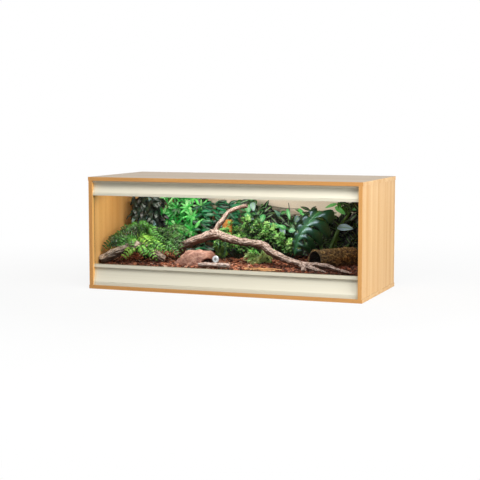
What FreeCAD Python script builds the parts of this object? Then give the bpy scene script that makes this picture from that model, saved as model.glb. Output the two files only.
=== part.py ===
import FreeCAD, Part
import Sketcher
import math
import os
import re

# A wooden vivarium with two sliding glass doors, planted inside. Millimetres, Z up.
# The origin is the middle of the case's underside; +X is right and -Y is the front.

doc = FreeCAD.newDocument("Vivarium")
sheet = doc.addObject("Spreadsheet::Sheet", "Sizes")

# Each driving size: its name, its value in millimetres (or degrees, or a count) and what it is.
DRIVING_SIZES = (
    # The case.
    ("case_width", 1150, "outside width over the top board"),
    ("case_depth", 510, "outside depth"),
    ("case_height", 456, "outside height"),
    ("board", 15, "thickness of every case board"),
    ("side_inset", 2, "how far the sides stand in from the top board's ends"),
    ("edge_band", 0.8, "thickness of the edging on the boards' front edges"),
    # The back.
    ("back_thickness", 4, "thickness of the back panel"),
    ("back_setback", 15, "board left behind the back groove"),
    ("groove_depth", 6, "depth of the groove that holds the back"),
    ("panel_bite", 5.5, "how far the back enters that groove"),
    ("groove_fit", 0.2, "clearance on each face of the back in its groove"),
    ("joint_width", 24, "width of the strip that joins the back's halves"),
    ("joint_flange", 1.2, "thickness of that strip's flanges"),
    ("joint_web", 1.5, "thickness of its web"),
    # The corner fittings.
    ("cam_margin", 66, "cam centre from the front or rear edge"),
    ("cam_offset", 34, "cam centre from the side board's end"),
    ("cam_radius", 7.4, "radius of a cam housing"),
    ("cam_depth", 12, "depth of a cam housing"),
    ("cam_fit", 0.1, "clearance round a cam housing"),
    ("cam_cover_radius", 8.6, "radius of the cap over a cam"),
    ("cam_cover_thickness", 0.8, "thickness of that cap"),
    ("bolt_radius", 3.2, "shank radius of a cam bolt"),
    ("bolt_neck_radius", 2, "neck radius that the cam grips"),
    ("bolt_thread_radius", 2.4, "thread radius in the top and bottom boards"),
    ("bolt_thread", 10.5, "length of that thread"),
    ("bolt_bore_fit", 0.4, "clearance round the bolt's shank"),
    ("fitting_fit", 0.1, "clearance of threads, dowels and screws in their holes"),
    ("dowel_margin", 110, "dowel centre from the front or rear edge"),
    ("dowel_radius", 4, "radius of a dowel"),
    ("dowel_long", 20, "length of a dowel inside a side board"),
    ("dowel_short", 9, "length of a dowel inside the top or bottom board"),
    ("hole_spare", 0.5, "spare depth at the end of a blind hole"),
    # The plastic fascias above and below the doors.
    ("fascia_setback", 8, "front face of a fascia from the case's front"),
    ("fascia_wall", 2.5, "wall of the hollow fascia"),
    ("bottom_fascia_height", 85, "height of the bottom fascia"),
    ("top_fascia_height", 60, "height of the top fascia"),
    ("fascia_strip", 11, "flat strip at the foot of the bottom fascia"),
    ("top_strip", 8, "flat strip at the head of the top fascia"),
    ("fascia_groove", 1.2, "depth of the shadow groove"),
    ("lip_height", 12, "height of the lip in front of the glass"),
    ("lip_setback", 12, "front of the lip from the case's front"),
    ("lip_wall", 2, "thickness of that lip"),
    ("lip_step", 4, "slope under the lip"),
    ("cove_depth", 12, "depth of the bottom fascia's hollow face"),
    ("top_cove_depth", 10, "depth of the top fascia's hollow face"),
    ("fascia_flange", 14, "depth of the screwed flange behind a fascia"),
    ("flange_thickness", 3, "thickness of that flange"),
    ("end_cap", 10, "width of a fascia end cap"),
    ("cap_proud", 0.8, "how far an end cap stands proud of the fascia"),
    ("spigot_length", 6, "length of the cap's plug inside the fascia"),
    ("spigot_fit", 0.2, "clearance round that plug"),
    ("screw_margin", 60, "end screws from the fascia's ends"),
    ("screw_radius", 1.7, "radius of a fascia screw"),
    ("screw_head_radius", 3.4, "radius of its head"),
    ("screw_head", 2.2, "height of its head"),
    ("screw_length", 11, "length of its shank"),
    # The glass runners and the doors.
    ("track_width", 5, "width of one glass channel"),
    ("track_wall", 2, "outer walls and floor of a runner"),
    ("track_divider", 3, "wall between the two channels"),
    ("bottom_track", 8, "depth of the bottom channels"),
    ("top_track", 18, "depth of the top channels"),
    ("glass", 4, "thickness of the doors"),
    ("glass_lift", 0.3, "clearance under a door"),
    ("glass_entry", 9, "how far a door reaches into the top channel"),
    ("glass_corner", 2, "corner radius of a door"),
    ("door_gap", 1, "door edge from the side board"),
    ("door_overlap", 30, "how far the doors overlap when shut"),
    # The lock on the front door.
    ("lock_edge", 37, "lock centre from the front door's meeting edge"),
    ("lock_height", 50, "lock centre above the door's foot"),
    ("lock_radius", 13.3, "radius of the lock's face"),
    ("lock_stand", 8.5, "how far the lock stands off the glass"),
    ("lock_chamfer", 1.6, "bevel round the lock's face"),
    ("lock_neck_radius", 8, "radius of the neck through the glass"),
    ("lock_neck_fit", 0.3, "clearance round that neck"),
    ("lock_bore_radius", 5.5, "radius of the bore for the key plug"),
    ("plug_fit", 0.08, "running clearance of the key plug"),
    ("plug_recess", 0.6, "how far the key plug sits in"),
    ("washer", 0.8, "thickness of the lock's washer"),
    ("washer_margin", 1.2, "how far the washer stays inside the lock's rim"),
    ("nut_radius", 11, "radius of the ring nut behind the glass"),
    ("nut_thickness", 2.4, "thickness of the ring nut"),
    ("keyway_width", 1.8, "width of the keyway"),
    ("keyway_height", 6.6, "height of the keyway"),
    ("keyway_depth", 6, "depth of the keyway"),
    # The cable vents in the back.
    ("vent_width", 150, "width of the opening that the flap fills"),
    ("vent_height", 46, "height of that opening"),
    ("vent_flange", 11, "flange round the opening"),
    ("vent_depth", 5, "thickness of that flange"),
    ("vent_shoulder", 2.5, "shoulder that stops the flap"),
    ("sleeve_wall", 4.5, "wall of the sleeve through the back"),
    ("sleeve_proud", 1.5, "how far the sleeve shows inside"),
    ("sleeve_fit", 0.3, "clearance round the sleeve"),
    ("flap_thickness", 2.4, "thickness of the flap"),
    ("flap_gap", 0.7, "gap round the flap"),
    ("flap_lift", 0.8, "flap from the shoulder"),
    ("pivot_drop", 2, "hinge line below the opening's top"),
    ("pin_radius", 1.2, "radius of the hinge pins"),
    ("pin_length", 5, "length of a hinge pin in the frame"),
    ("pin_fit", 0.1, "running clearance of the pins"),
    ("slot_height", 2.6, "height of one louvre slot"),
    ("slot_pitch", 5.4, "louvre slot to louvre slot"),
    ("slot_margin", 14, "louvre slots from the flap's ends"),
    ("notch_radius", 8, "radius of the cable notch"),
    # The substrate and what lies on it.
    ("substrate_front", 80, "depth of the bark at the front"),
    ("substrate_back", 108, "depth of the bark at the back"),
    ("substrate_gap", 1.2, "substrate from the walls round it"),
    ("seat_gap", 0.3, "what lies on the substrate, from its surface"),
    ("trunk_radius", 13, "radius of the branch at its thickest"),
    ("log_radius", 18, "radius of the left log"),
    ("twig_log_radius", 10, "radius of the small log in front"),
    ("slab_thickness", 10, "thickness of the flat bark"),
    ("slab_length", 160, "length of the flat bark"),
    ("slab_depth", 54, "depth of the flat bark"),
    ("rock_width", 270, "width of the rock hide"),
    ("rock_depth", 118, "depth of the rock hide"),
    ("rock_height", 62, "height of the rock hide over the substrate"),
    ("rock_wall", 9, "wall of the rock hide"),
    ("mouth_radius", 26, "radius of the rock hide's mouth"),
    ("cork_radius", 46, "outside radius of the cork hide"),
    ("cork_wall", 9, "wall of the cork hide"),
    ("cork_length", 195, "length of the cork hide"),
    ("cork_rise", 32, "axis of the cork hide over the substrate"),
    ("tile_width", 44, "width of the upright cork tile"),
    ("tile_thickness", 12, "thickness of the upright cork tile"),
    ("tile_height", 165, "height of the upright cork tile"),
    # The plants.
    ("stem_radius", 3, "radius of a plant's stem"),
    ("leaf_thickness", 2, "thickness of a leaf"),
    ("big_leaf_length", 200, "length of the largest leaf"),
    ("big_leaf_width", 122, "width of the largest leaf"),
)

for row, (name, value, meaning) in enumerate(DRIVING_SIZES, start=1):
    sheet.set(f"A{row}", name)
    sheet.set(f"B{row}", str(value))
    sheet.setAlias(f"B{row}", name)
    sheet.set(f"C{row}", meaning)
doc.recompute()

NAMES = {name for name, _, _ in DRIVING_SIZES}
WORD = re.compile(r"[a-z_]+")

# Sizes that follow from the driving ones, as formulas in their names.
INNER_WIDTH = "(case_width - 2 * side_inset - 2 * board)"
INNER_HEIGHT = "(case_height - 2 * board)"
FRONT = "(-case_depth / 2)"
CEILING = "(case_height - board)"
SIDE_CENTRE = f"({INNER_WIDTH} / 2 + board / 2)"
GROOVE_WIDTH = "(back_thickness + 2 * groove_fit)"
GROOVE_BACK = "(case_depth - back_setback)"
PANEL_FRONT = f"({GROOVE_BACK} - groove_fit - back_thickness)"
PANEL_REAR = f"({GROOVE_BACK} - groove_fit)"
RUNNER_FRONT = "(lip_setback + lip_wall)"
RUNNER_DEPTH = "(2 * track_wall + 2 * track_width + track_divider)"
RUNNER_BACK = f"({RUNNER_FRONT} + {RUNNER_DEPTH})"
BOTTOM_SEAT = "(bottom_fascia_height - bottom_track - track_wall)"
TOP_SEAT = "(top_fascia_height - top_track - track_wall)"
FASCIA_LENGTH = f"({INNER_WIDTH} - 2 * end_cap)"
FRONT_PANE = f"({RUNNER_FRONT} + track_wall + (track_width - glass) / 2)"
REAR_PANE = f"({FRONT_PANE} + track_width + track_divider)"
DOOR_WIDTH = f"(({INNER_WIDTH} + door_overlap) / 2 - door_gap)"
DOOR_FOOT = f"(board + {BOTTOM_SEAT} + track_wall + glass_lift)"
DOOR_HEIGHT = f"({CEILING} - top_fascia_height + glass_entry - {DOOR_FOOT})"
LOCK_X = f"({DOOR_WIDTH} - lock_edge)"
SLEEVE_WIDTH = "(vent_width + 2 * sleeve_wall - 2 * vent_shoulder)"
SLEEVE_HEIGHT = "(vent_height + 2 * sleeve_wall - 2 * vent_shoulder)"

# Where the vents sit in the back, as shares of the half width and of the inner height.
VENT_SHARES = {"left": (-0.6, 0.76), "right": (0.6, 0.43)}
# Where the fascia screws sit, as shares of the screwed length on either side of its middle.
SCREW_SHARES = (-0.5, -0.25, 0, 0.25, 0.5)


def at(formula):
    """The formula with every size's name pointing at the sheet."""
    return WORD.sub(lambda found: f"Sizes.{found[0]}" if found[0] in NAMES else found[0], str(formula))


def number(formula):
    """What a formula comes to, in millimetres."""
    return float(sheet.evalExpression(at(formula)))


def new_body(label, x="0", y="0", z="0"):
    """A body whose origin stands at three formulas."""
    body = doc.addObject("PartDesign::Body", label)
    for axis, formula in zip("xyz", (x, y, z)):
        body.setExpression(f"Placement.Base.{axis}", at(formula))
    return body


def new_sketch(body, name, plane, offset="0"):
    """An empty sketch on one of the body's planes, moved along the plane's normal."""
    sketch = body.newObject("Sketcher::SketchObject", f"{body.Name}_{name}")
    support = next(part for part in body.Origin.OriginFeatures if part.Role == f"{plane}_Plane")
    sketch.AttachmentSupport = [(support, "")]
    sketch.MapMode = "FlatFace"
    sketch.setExpression("AttachmentOffset.Base.z", at(offset))
    return sketch


def hold(sketch, kind, geometry, vertex, formula):
    """Tie one coordinate of a vertex to a formula."""
    index = sketch.addConstraint(Sketcher.Constraint(kind, -1, 1, geometry, vertex, number(formula)))
    sketch.setExpression(f"Constraints[{index}]", at(formula))


def add_arc(sketch, start, finish, centre_height):
    """An arc between two places whose centre lies at a given height in the sketch."""
    height = number(centre_height)
    reach = (finish.x ** 2 - start.x ** 2 + (finish.y - height) ** 2 - (start.y - height) ** 2)
    centre = FreeCAD.Vector(reach / (2 * (finish.x - start.x)), height, 0)
    circle = Part.Circle(centre, FreeCAD.Vector(0, 0, 1), (start - centre).Length)
    first = math.atan2(start.y - centre.y, start.x - centre.x)
    last = math.atan2(finish.y - centre.y, finish.x - centre.x)
    turn = (last - first) % (2 * math.pi)
    if turn < math.pi:
        arc = sketch.addGeometry(Part.ArcOfCircle(circle, first, first + turn), False)
        ends = (1, 2)
    else:
        arc = sketch.addGeometry(Part.ArcOfCircle(circle, last, last - turn + 2 * math.pi), False)
        ends = (2, 1)
    hold(sketch, "DistanceY", arc, 3, centre_height)
    return (arc, *ends)


def outline(sketch, points, arcs=None):
    """Close a loop through points given as pairs of formulas.

    arcs maps the number of an edge to the height of its centre.
    """
    arcs = arcs or {}
    places = [FreeCAD.Vector(number(across), number(along), 0) for across, along in points]
    following = places[1:] + places[:1]
    edges = []
    for count, (start, finish) in enumerate(zip(places, following)):
        if count in arcs:
            edges.append(add_arc(sketch, start, finish, arcs[count]))
        else:
            edges.append((sketch.addGeometry(Part.LineSegment(start, finish), False), 1, 2))
    for (edge, _, last), (after, first, _) in zip(edges, edges[1:] + edges[:1]):
        sketch.addConstraint(Sketcher.Constraint("Coincident", edge, last, after, first))
    for (edge, first, _), (across, along) in zip(edges, points):
        hold(sketch, "DistanceX", edge, first, across)
        hold(sketch, "DistanceY", edge, first, along)


def rectangle(sketch, left, low, right, high):
    """A rectangle between two corners given as formulas."""
    outline(sketch, [(left, low), (right, low), (right, high), (left, high)])


def circles(sketch, centres, radius):
    """Equal circles at centres given as pairs of formulas."""
    for across, along in centres:
        centre = FreeCAD.Vector(number(across), number(along), 0)
        ring = sketch.addGeometry(Part.Circle(centre, FreeCAD.Vector(0, 0, 1), number(radius)), False)
        hold(sketch, "DistanceX", ring, 3, across)
        hold(sketch, "DistanceY", ring, 3, along)
        index = sketch.addConstraint(Sketcher.Constraint("Radius", ring, number(radius)))
        sketch.setExpression(f"Constraints[{index}]", at(radius))


def pad(body, sketch, length, backwards=False):
    """Raise a sketch by a length."""
    feature = body.newObject("PartDesign::Pad", f"{sketch.Name}_pad")
    feature.Profile = sketch
    feature.setExpression("Length", at(length))
    feature.Reversed = backwards
    doc.recompute()
    return feature


def pocket(body, sketch, depth, backwards=False):
    """Sink a sketch by a depth, and make sure that it took material away."""
    before = body.Shape.Volume
    feature = body.newObject("PartDesign::Pocket", f"{sketch.Name}_pocket")
    feature.Profile = sketch
    feature.setExpression("Length", at(depth))
    feature.Reversed = backwards
    doc.recompute()
    if not feature.Shape.Volume < before:
        raise RuntimeError(f"{feature.Name} cut nothing")
    return feature


def turned(body, sketch):
    """Turn a sketch once round its own vertical axis."""
    feature = body.newObject("PartDesign::Revolution", f"{sketch.Name}_turned")
    feature.Profile = sketch
    feature.ReferenceAxis = (sketch, ["V_Axis"])
    doc.recompute()
    return feature


def shaped(label, shape):
    """A plain feature that holds a finished shape."""
    feature = doc.addObject("Part::Feature", label)
    feature.Shape = shape
    return feature


def from_both_ends(margin, whole):
    """Two places, a margin in from each end of a length."""
    return (margin, f"({whole} - {margin})")


# The boards. Veneered particle board, drilled for cams and dowels and grooved for the back.
CAM_ROWS = from_both_ends("cam_margin", "case_depth")
DOWEL_ROWS = from_both_ends("dowel_margin", "case_depth")
CAM_LEVELS = from_both_ends("cam_offset", INNER_HEIGHT)
SCREW_PLACES = [f"({share} * ({FASCIA_LENGTH} - 2 * screw_margin))" for share in SCREW_SHARES]
SCREW_ROW = f"({RUNNER_BACK} + fascia_flange / 2)"


def lying_board(label, level, inner_face, cuts_upwards):
    """The top or bottom board: its inner face carries the groove and the holes."""
    body = new_body(label, y=FRONT, z=level)
    plan = new_sketch(body, "plan", "XY")
    rectangle(plan, "-case_width / 2", "edge_band", "case_width / 2", "case_depth")
    pad(body, plan, "board")
    reach = f"({INNER_WIDTH} / 2 + groove_depth)"
    groove = new_sketch(body, "groove", "XY", inner_face)
    rectangle(groove, f"-{reach}", f"{GROOVE_BACK} - {GROOVE_WIDTH}", reach, GROOVE_BACK)
    pocket(body, groove, "groove_depth", cuts_upwards)
    for name, rows, radius, depth in (
        ("bolt_holes", CAM_ROWS, "bolt_thread_radius + fitting_fit", "bolt_thread + hole_spare"),
        ("dowel_holes", DOWEL_ROWS, "dowel_radius + fitting_fit", "dowel_short + hole_spare"),
    ):
        holes = new_sketch(body, name, "XY", inner_face)
        circles(holes, [(f"{side}{SIDE_CENTRE}", row) for side in ("-", "") for row in rows], radius)
        pocket(body, holes, depth, cuts_upwards)
    pilots = new_sketch(body, "screw_holes", "XY", inner_face)
    circles(pilots, [(place, SCREW_ROW) for place in SCREW_PLACES], "screw_radius + fitting_fit")
    pocket(body, pilots, "screw_length - flange_thickness + hole_spare", cuts_upwards)
    return body


def side_board(label, left_face, inner_face, cuts_right):
    """A side board between the other two: grooved inside, with cam bores and end holes."""
    body = new_body(label, left_face, FRONT, "board")
    plan = new_sketch(body, "plan", "XY")
    rectangle(plan, "0", "edge_band", "board", "case_depth")
    pad(body, plan, INNER_HEIGHT)
    groove = new_sketch(body, "groove", "YZ", inner_face)
    rectangle(groove, f"{GROOVE_BACK} - {GROOVE_WIDTH}", "0", GROOVE_BACK, INNER_HEIGHT)
    pocket(body, groove, "groove_depth", cuts_right)
    bores = new_sketch(body, "cam_bores", "YZ", inner_face)
    circles(bores, [(row, level) for row in CAM_ROWS for level in CAM_LEVELS], "cam_radius + cam_fit")
    pocket(body, bores, "cam_depth + cam_fit", cuts_right)
    for end, level, cuts_up in (("foot", "0", True), ("head", INNER_HEIGHT, False)):
        for name, rows, radius, depth in (
            ("bolt", CAM_ROWS, "bolt_radius + bolt_bore_fit", "cam_offset"),
            ("dowel", DOWEL_ROWS, "dowel_radius + fitting_fit", "dowel_long + hole_spare"),
        ):
            holes = new_sketch(body, f"{end}_{name}_holes", "XY", level)
            circles(holes, [("board / 2", row) for row in rows], radius)
            pocket(body, holes, depth, cuts_up)
    return body


bottom_board = lying_board("bottom_board", "0", "board", False)
top_board = lying_board("top_board", CEILING, "0", True)
left_side_board = side_board("left_side_board", f"-{INNER_WIDTH} / 2 - board", "board", False)
right_side_board = side_board("right_side_board", f"{INNER_WIDTH} / 2", "0", True)


def edge_band(label, size, place):
    """The thin edging glued over a board's front edge."""
    band = doc.addObject("Part::Box", label)
    for side, formula in zip(("Length", "Width", "Height"), size):
        band.setExpression(side, at(formula))
    for axis, formula in zip("xyz", place):
        band.setExpression(f"Placement.Base.{axis}", at(formula))
    return band


edge_bands = [
    edge_band("bottom_edge_band", ("case_width", "edge_band", "board"), ("-case_width / 2", FRONT, "0")),
    edge_band("top_edge_band", ("case_width", "edge_band", "board"), ("-case_width / 2", FRONT, CEILING)),
    edge_band("left_edge_band", ("board", "edge_band", INNER_HEIGHT),
              (f"-{INNER_WIDTH} / 2 - board", FRONT, "board")),
    edge_band("right_edge_band", ("board", "edge_band", INNER_HEIGHT),
              (f"{INNER_WIDTH} / 2", FRONT, "board")),
]


# The back: two halves of hardboard in the grooves, joined by a plastic strip.
def vent_centre(side):
    """Where a vent's centre lies, as formulas for X and for the height above the bottom board."""
    across, up = VENT_SHARES[side]
    return f"({across} * {INNER_WIDTH} / 2)", f"({up} * {INNER_HEIGHT})"


def back_half(side, left, right):
    """One half of the back, with the opening for its vent."""
    body = new_body(f"{side}_back_panel", y=f"{FRONT} + {PANEL_FRONT}", z="board")
    face = new_sketch(body, "face", "XZ")
    rectangle(face, left, "-panel_bite", right, f"{INNER_HEIGHT} + panel_bite")
    across, up = vent_centre(side)
    half_width = f"({SLEEVE_WIDTH} / 2 + sleeve_fit)"
    half_height = f"({SLEEVE_HEIGHT} / 2 + sleeve_fit)"
    rectangle(face, f"{across} - {half_width}", f"{up} - {half_height}",
              f"{across} + {half_width}", f"{up} + {half_height}")
    pad(body, face, "back_thickness", backwards=True)
    return body


PANEL_EDGE = f"({INNER_WIDTH} / 2 + panel_bite)"
PANEL_MEETING = "(joint_web / 2 + groove_fit)"
left_back_panel = back_half("left", f"-{PANEL_EDGE}", f"-{PANEL_MEETING}")
right_back_panel = back_half("right", PANEL_MEETING, PANEL_EDGE)

back_joint_strip = new_body("back_joint_strip", y=f"{FRONT} + {PANEL_FRONT} - groove_fit", z="board")
section = new_sketch(back_joint_strip, "section", "XY")
wide, thin, deep = "joint_width / 2", "joint_web / 2", GROOVE_WIDTH
outline(section, [
    (f"-{wide}", "-joint_flange"), (wide, "-joint_flange"), (wide, "0"), (thin, "0"),
    (thin, deep), (wide, deep), (wide, f"{deep} + joint_flange"), (f"-{wide}", f"{deep} + joint_flange"),
    (f"-{wide}", deep), (f"-{thin}", deep), (f"-{thin}", "0"), (f"-{wide}", "0"),
])
pad(back_joint_strip, section, INNER_HEIGHT)


# The fascias: hollow plastic sections with a coved face and a lip in front of the glass.
def bottom_face(front):
    """The bottom fascia's outline from its foot up to the runner's seat, and its one arc."""
    neck = "(bottom_fascia_height - lip_height - lip_step)"
    cove = f"({front} + cove_depth)"
    points = [
        (front, "0"), (front, "fascia_strip"), (f"{front} + fascia_groove", "fascia_strip + fascia_groove"),
        (front, "fascia_strip + 2 * fascia_groove"), (cove, neck),
        ("lip_setback", "bottom_fascia_height - lip_height"), ("lip_setback", "bottom_fascia_height"),
        (RUNNER_FRONT, "bottom_fascia_height"), (RUNNER_FRONT, BOTTOM_SEAT), (RUNNER_BACK, BOTTOM_SEAT),
    ]
    return points, {3: neck}


def top_face(front):
    """The top fascia's outline from its head down to the runner's seat, and its one arc."""
    cove = f"({front} + top_cove_depth)"
    head = "-(top_strip + fascia_groove)"
    foot = "-(top_fascia_height - lip_height + fascia_groove)"
    points = [
        (front, "0"), (front, "-top_strip"), (cove, head), (front, foot),
        (f"{front} + fascia_groove", f"{foot} - fascia_groove"), (front, f"{foot} - 2 * fascia_groove"),
        (front, "-top_fascia_height"), (RUNNER_FRONT, "-top_fascia_height"),
        (RUNNER_FRONT, f"-{TOP_SEAT}"), (RUNNER_BACK, f"-{TOP_SEAT}"),
    ]
    return points, {2: head}


def flange(sign):
    """The screwed flange behind a fascia; sign is a minus for the one that hangs."""
    rear = f"({RUNNER_BACK} + fascia_flange)"
    return [(RUNNER_BACK, f"{sign}flange_thickness"), (rear, f"{sign}flange_thickness"), (rear, "0")]


BOTTOM_CAVITY = (
    ("fascia_setback + fascia_wall", "fascia_wall"),
    (f"{RUNNER_BACK} - fascia_wall", "fascia_wall"),
    (f"{RUNNER_BACK} - fascia_wall", f"{BOTTOM_SEAT} - fascia_wall"),
    ("fascia_setback + cove_depth + fascia_wall", f"{BOTTOM_SEAT} - fascia_wall"),
    ("fascia_setback + cove_depth + fascia_wall", "bottom_fascia_height - lip_height - lip_step"),
    ("fascia_setback + fascia_wall", "fascia_strip + 2 * fascia_groove"),
)
TOP_CAVITY_FRONT = "(fascia_setback + top_cove_depth + fascia_wall)"
TOP_CAVITY = (
    (TOP_CAVITY_FRONT, "-fascia_wall"), (f"{RUNNER_BACK} - fascia_wall", "-fascia_wall"),
    (f"{RUNNER_BACK} - fascia_wall", f"-({TOP_SEAT} - fascia_wall)"),
    (TOP_CAVITY_FRONT, f"-({TOP_SEAT} - fascia_wall)"),
)


def fascia(label, level, face, cavity, cavity_arcs, sign):
    """A hollow fascia between its end caps, drilled through its rear flange."""
    body = new_body(label, f"-{FASCIA_LENGTH} / 2", FRONT, level)
    section = new_sketch(body, "section", "YZ")
    points, arcs = face
    outline(section, points + flange(sign), arcs)
    outline(section, cavity, cavity_arcs)
    pad(body, section, FASCIA_LENGTH)
    holes = new_sketch(body, "screw_holes", "XY", f"{sign}flange_thickness")
    places = [(f"{FASCIA_LENGTH} / 2 + {place}", SCREW_ROW) for place in SCREW_PLACES]
    circles(holes, places, "screw_radius + fitting_fit")
    pocket(body, holes, "flange_thickness", backwards=bool(sign))
    return body


bottom_fascia = fascia("bottom_fascia", "board", bottom_face("fascia_setback"), BOTTOM_CAVITY,
                       {4: "bottom_fascia_height - lip_height - lip_step"}, "")
top_fascia = fascia("top_fascia", CEILING, top_face("fascia_setback"), TOP_CAVITY, {}, "-")


def end_cap(label, left_face, level, face, foot, plug_height, plug_side):
    """A cap on a fascia's end, with a plug that enters the hollow section."""
    body = new_body(label, left_face, FRONT, level)
    section = new_sketch(body, "section", "YZ")
    points, arcs = face
    outline(section, points + [(RUNNER_BACK, "0")], arcs)
    pad(body, section, "end_cap")
    plug = new_sketch(body, "plug", "YZ", plug_side)
    front = "(fascia_setback + cove_depth + fascia_wall + spigot_fit)"
    rectangle(plug, front, foot, f"{RUNNER_BACK} - fascia_wall - spigot_fit", f"{foot} + {plug_height}")
    pad(body, plug, "spigot_length", backwards=plug_side == "0")
    return body


LEFT_CAP = f"-{INNER_WIDTH} / 2"
RIGHT_CAP = f"{INNER_WIDTH} / 2 - end_cap"
BOTTOM_PLUG = f"({BOTTOM_SEAT} - 2 * fascia_wall - 2 * spigot_fit)"
TOP_PLUG = f"({TOP_SEAT} - 2 * fascia_wall - 2 * spigot_fit)"
end_caps = []
for side, left_face, plug_side in (("left", LEFT_CAP, "end_cap"), ("right", RIGHT_CAP, "0")):
    end_caps.append(end_cap(f"bottom_{side}_end_cap", left_face, "board",
                            bottom_face("(fascia_setback - cap_proud)"),
                            "fascia_wall + spigot_fit", BOTTOM_PLUG, plug_side))
    end_caps.append(end_cap(f"top_{side}_end_cap", left_face, CEILING,
                            top_face("(fascia_setback - cap_proud)"),
                            f"-({TOP_SEAT} - fascia_wall - spigot_fit)", TOP_PLUG, plug_side))


# The runners: plastic sections with two channels for the glass.
def runner(label, level, depth, sign):
    """A double channel across the whole opening; sign is a minus for the one that hangs."""
    body = new_body(label, f"-{INNER_WIDTH} / 2", f"{FRONT} + {RUNNER_FRONT}", level)
    section = new_sketch(body, "section", "YZ")
    floor = f"{sign}track_wall"
    mouth = f"{sign}({depth} + track_wall)"
    divider = ("(track_wall + track_width)", "(track_wall + track_width + track_divider)")
    outline(section, [
        ("0", "0"), ("0", mouth), ("track_wall", mouth), ("track_wall", floor), (divider[0], floor),
        (divider[0], mouth), (divider[1], mouth), (divider[1], floor),
        (f"{RUNNER_DEPTH} - track_wall", floor), (f"{RUNNER_DEPTH} - track_wall", mouth),
        (RUNNER_DEPTH, mouth), (RUNNER_DEPTH, "0"),
    ])
    pad(body, section, INNER_WIDTH)
    return body


bottom_runner = runner("bottom_glass_runner", f"board + {BOTTOM_SEAT}", "bottom_track", "")
top_runner = runner("top_glass_runner", f"{CEILING} - {TOP_SEAT}", "top_track", "-")


# The doors: toughened glass. The left one runs in the front channel and carries the lock.
def round_corners(body, feature, radius):
    """Round the four upright corners that run through the glass."""
    corners = []
    for count, edge in enumerate(feature.Shape.Edges, start=1):
        start, finish = (vertex.Point for vertex in (edge.Vertexes[0], edge.Vertexes[-1]))
        straight = isinstance(edge.Curve, Part.Line)
        if straight and abs((finish - start).y) > abs((finish - start).x) + abs((finish - start).z):
            corners.append(f"Edge{count}")
    rounded = body.newObject("PartDesign::Fillet", f"{body.Name}_corners")
    rounded.Base = (feature, corners)
    rounded.setExpression("Radius", at(radius))
    doc.recompute()


def glass_door(label, left_edge, pane, lock_hole=False):
    """A sliding pane, drilled for the lock if it carries one."""
    body = new_body(label, left_edge, f"{FRONT} + {pane}", DOOR_FOOT)
    face = new_sketch(body, "face", "XZ")
    rectangle(face, "0", "0", DOOR_WIDTH, DOOR_HEIGHT)
    if lock_hole:
        circles(face, [(LOCK_X, "lock_height")], "lock_neck_radius + lock_neck_fit")
    sheet_of_glass = pad(body, face, "glass", backwards=True)
    round_corners(body, sheet_of_glass, "glass_corner")
    return body


left_glass_door = glass_door("left_glass_door", f"-{INNER_WIDTH} / 2 + door_gap", FRONT_PANE,
                             lock_hole=True)
right_glass_door = glass_door("right_glass_door", f"{INNER_WIDTH} / 2 - door_gap - {DOOR_WIDTH}", REAR_PANE)


# The lock: a turned barrel through the front door, held by a ring nut, with a key plug inside.
LOCK_PLACE = (
    f"-{INNER_WIDTH} / 2 + door_gap + {LOCK_X}", f"{FRONT} + {FRONT_PANE}", f"{DOOR_FOOT} + lock_height",
)
NECK_END = "(glass + nut_thickness)"


def turned_ring(label, profile):
    """A piece turned round the lock's axis from an outline of radii and depths."""
    body = new_body(label, *LOCK_PLACE)
    half = new_sketch(body, "half", "XY")
    outline(half, profile)
    turned(body, half)
    return body


lock_barrel = turned_ring("lock_barrel", [
    ("lock_bore_radius", "-lock_stand"), ("lock_radius - lock_chamfer", "-lock_stand"),
    ("lock_radius", "-lock_stand + lock_chamfer"), ("lock_radius", "-washer"),
    ("lock_neck_radius", "-washer"), ("lock_neck_radius", NECK_END), ("lock_bore_radius", NECK_END),
])
lock_washer = turned_ring("lock_washer", [
    ("lock_neck_radius + lock_neck_fit", "-washer"), ("lock_radius - washer_margin", "-washer"),
    ("lock_radius - washer_margin", "0"), ("lock_neck_radius + lock_neck_fit", "0"),
])
lock_nut = turned_ring("lock_nut", [
    ("lock_neck_radius + fitting_fit", "glass"), ("nut_radius", "glass"),
    ("nut_radius", NECK_END), ("lock_neck_radius + fitting_fit", NECK_END),
])
lock_plug = turned_ring("lock_plug", [
    ("0", "-lock_stand + plug_recess"), ("lock_bore_radius - plug_fit", "-lock_stand + plug_recess"),
    ("lock_bore_radius - plug_fit", f"{NECK_END} - plug_recess"), ("0", f"{NECK_END} - plug_recess"),
])
keyway = new_sketch(lock_plug, "keyway", "XZ", "lock_stand - plug_recess")
rectangle(keyway, "-keyway_width / 2", "-keyway_height / 2", "keyway_width / 2", "keyway_height / 2")
pocket(lock_plug, keyway, "keyway_depth")


# The vents: a frame in each half of the back, and a hinged flap with louvres and a cable notch.
PIVOT_HEIGHT = "(vent_height / 2 - pivot_drop)"
PIVOT_DEPTH = "(flap_lift + flap_thickness / 2)"
SLOT_COUNT = 4


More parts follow.
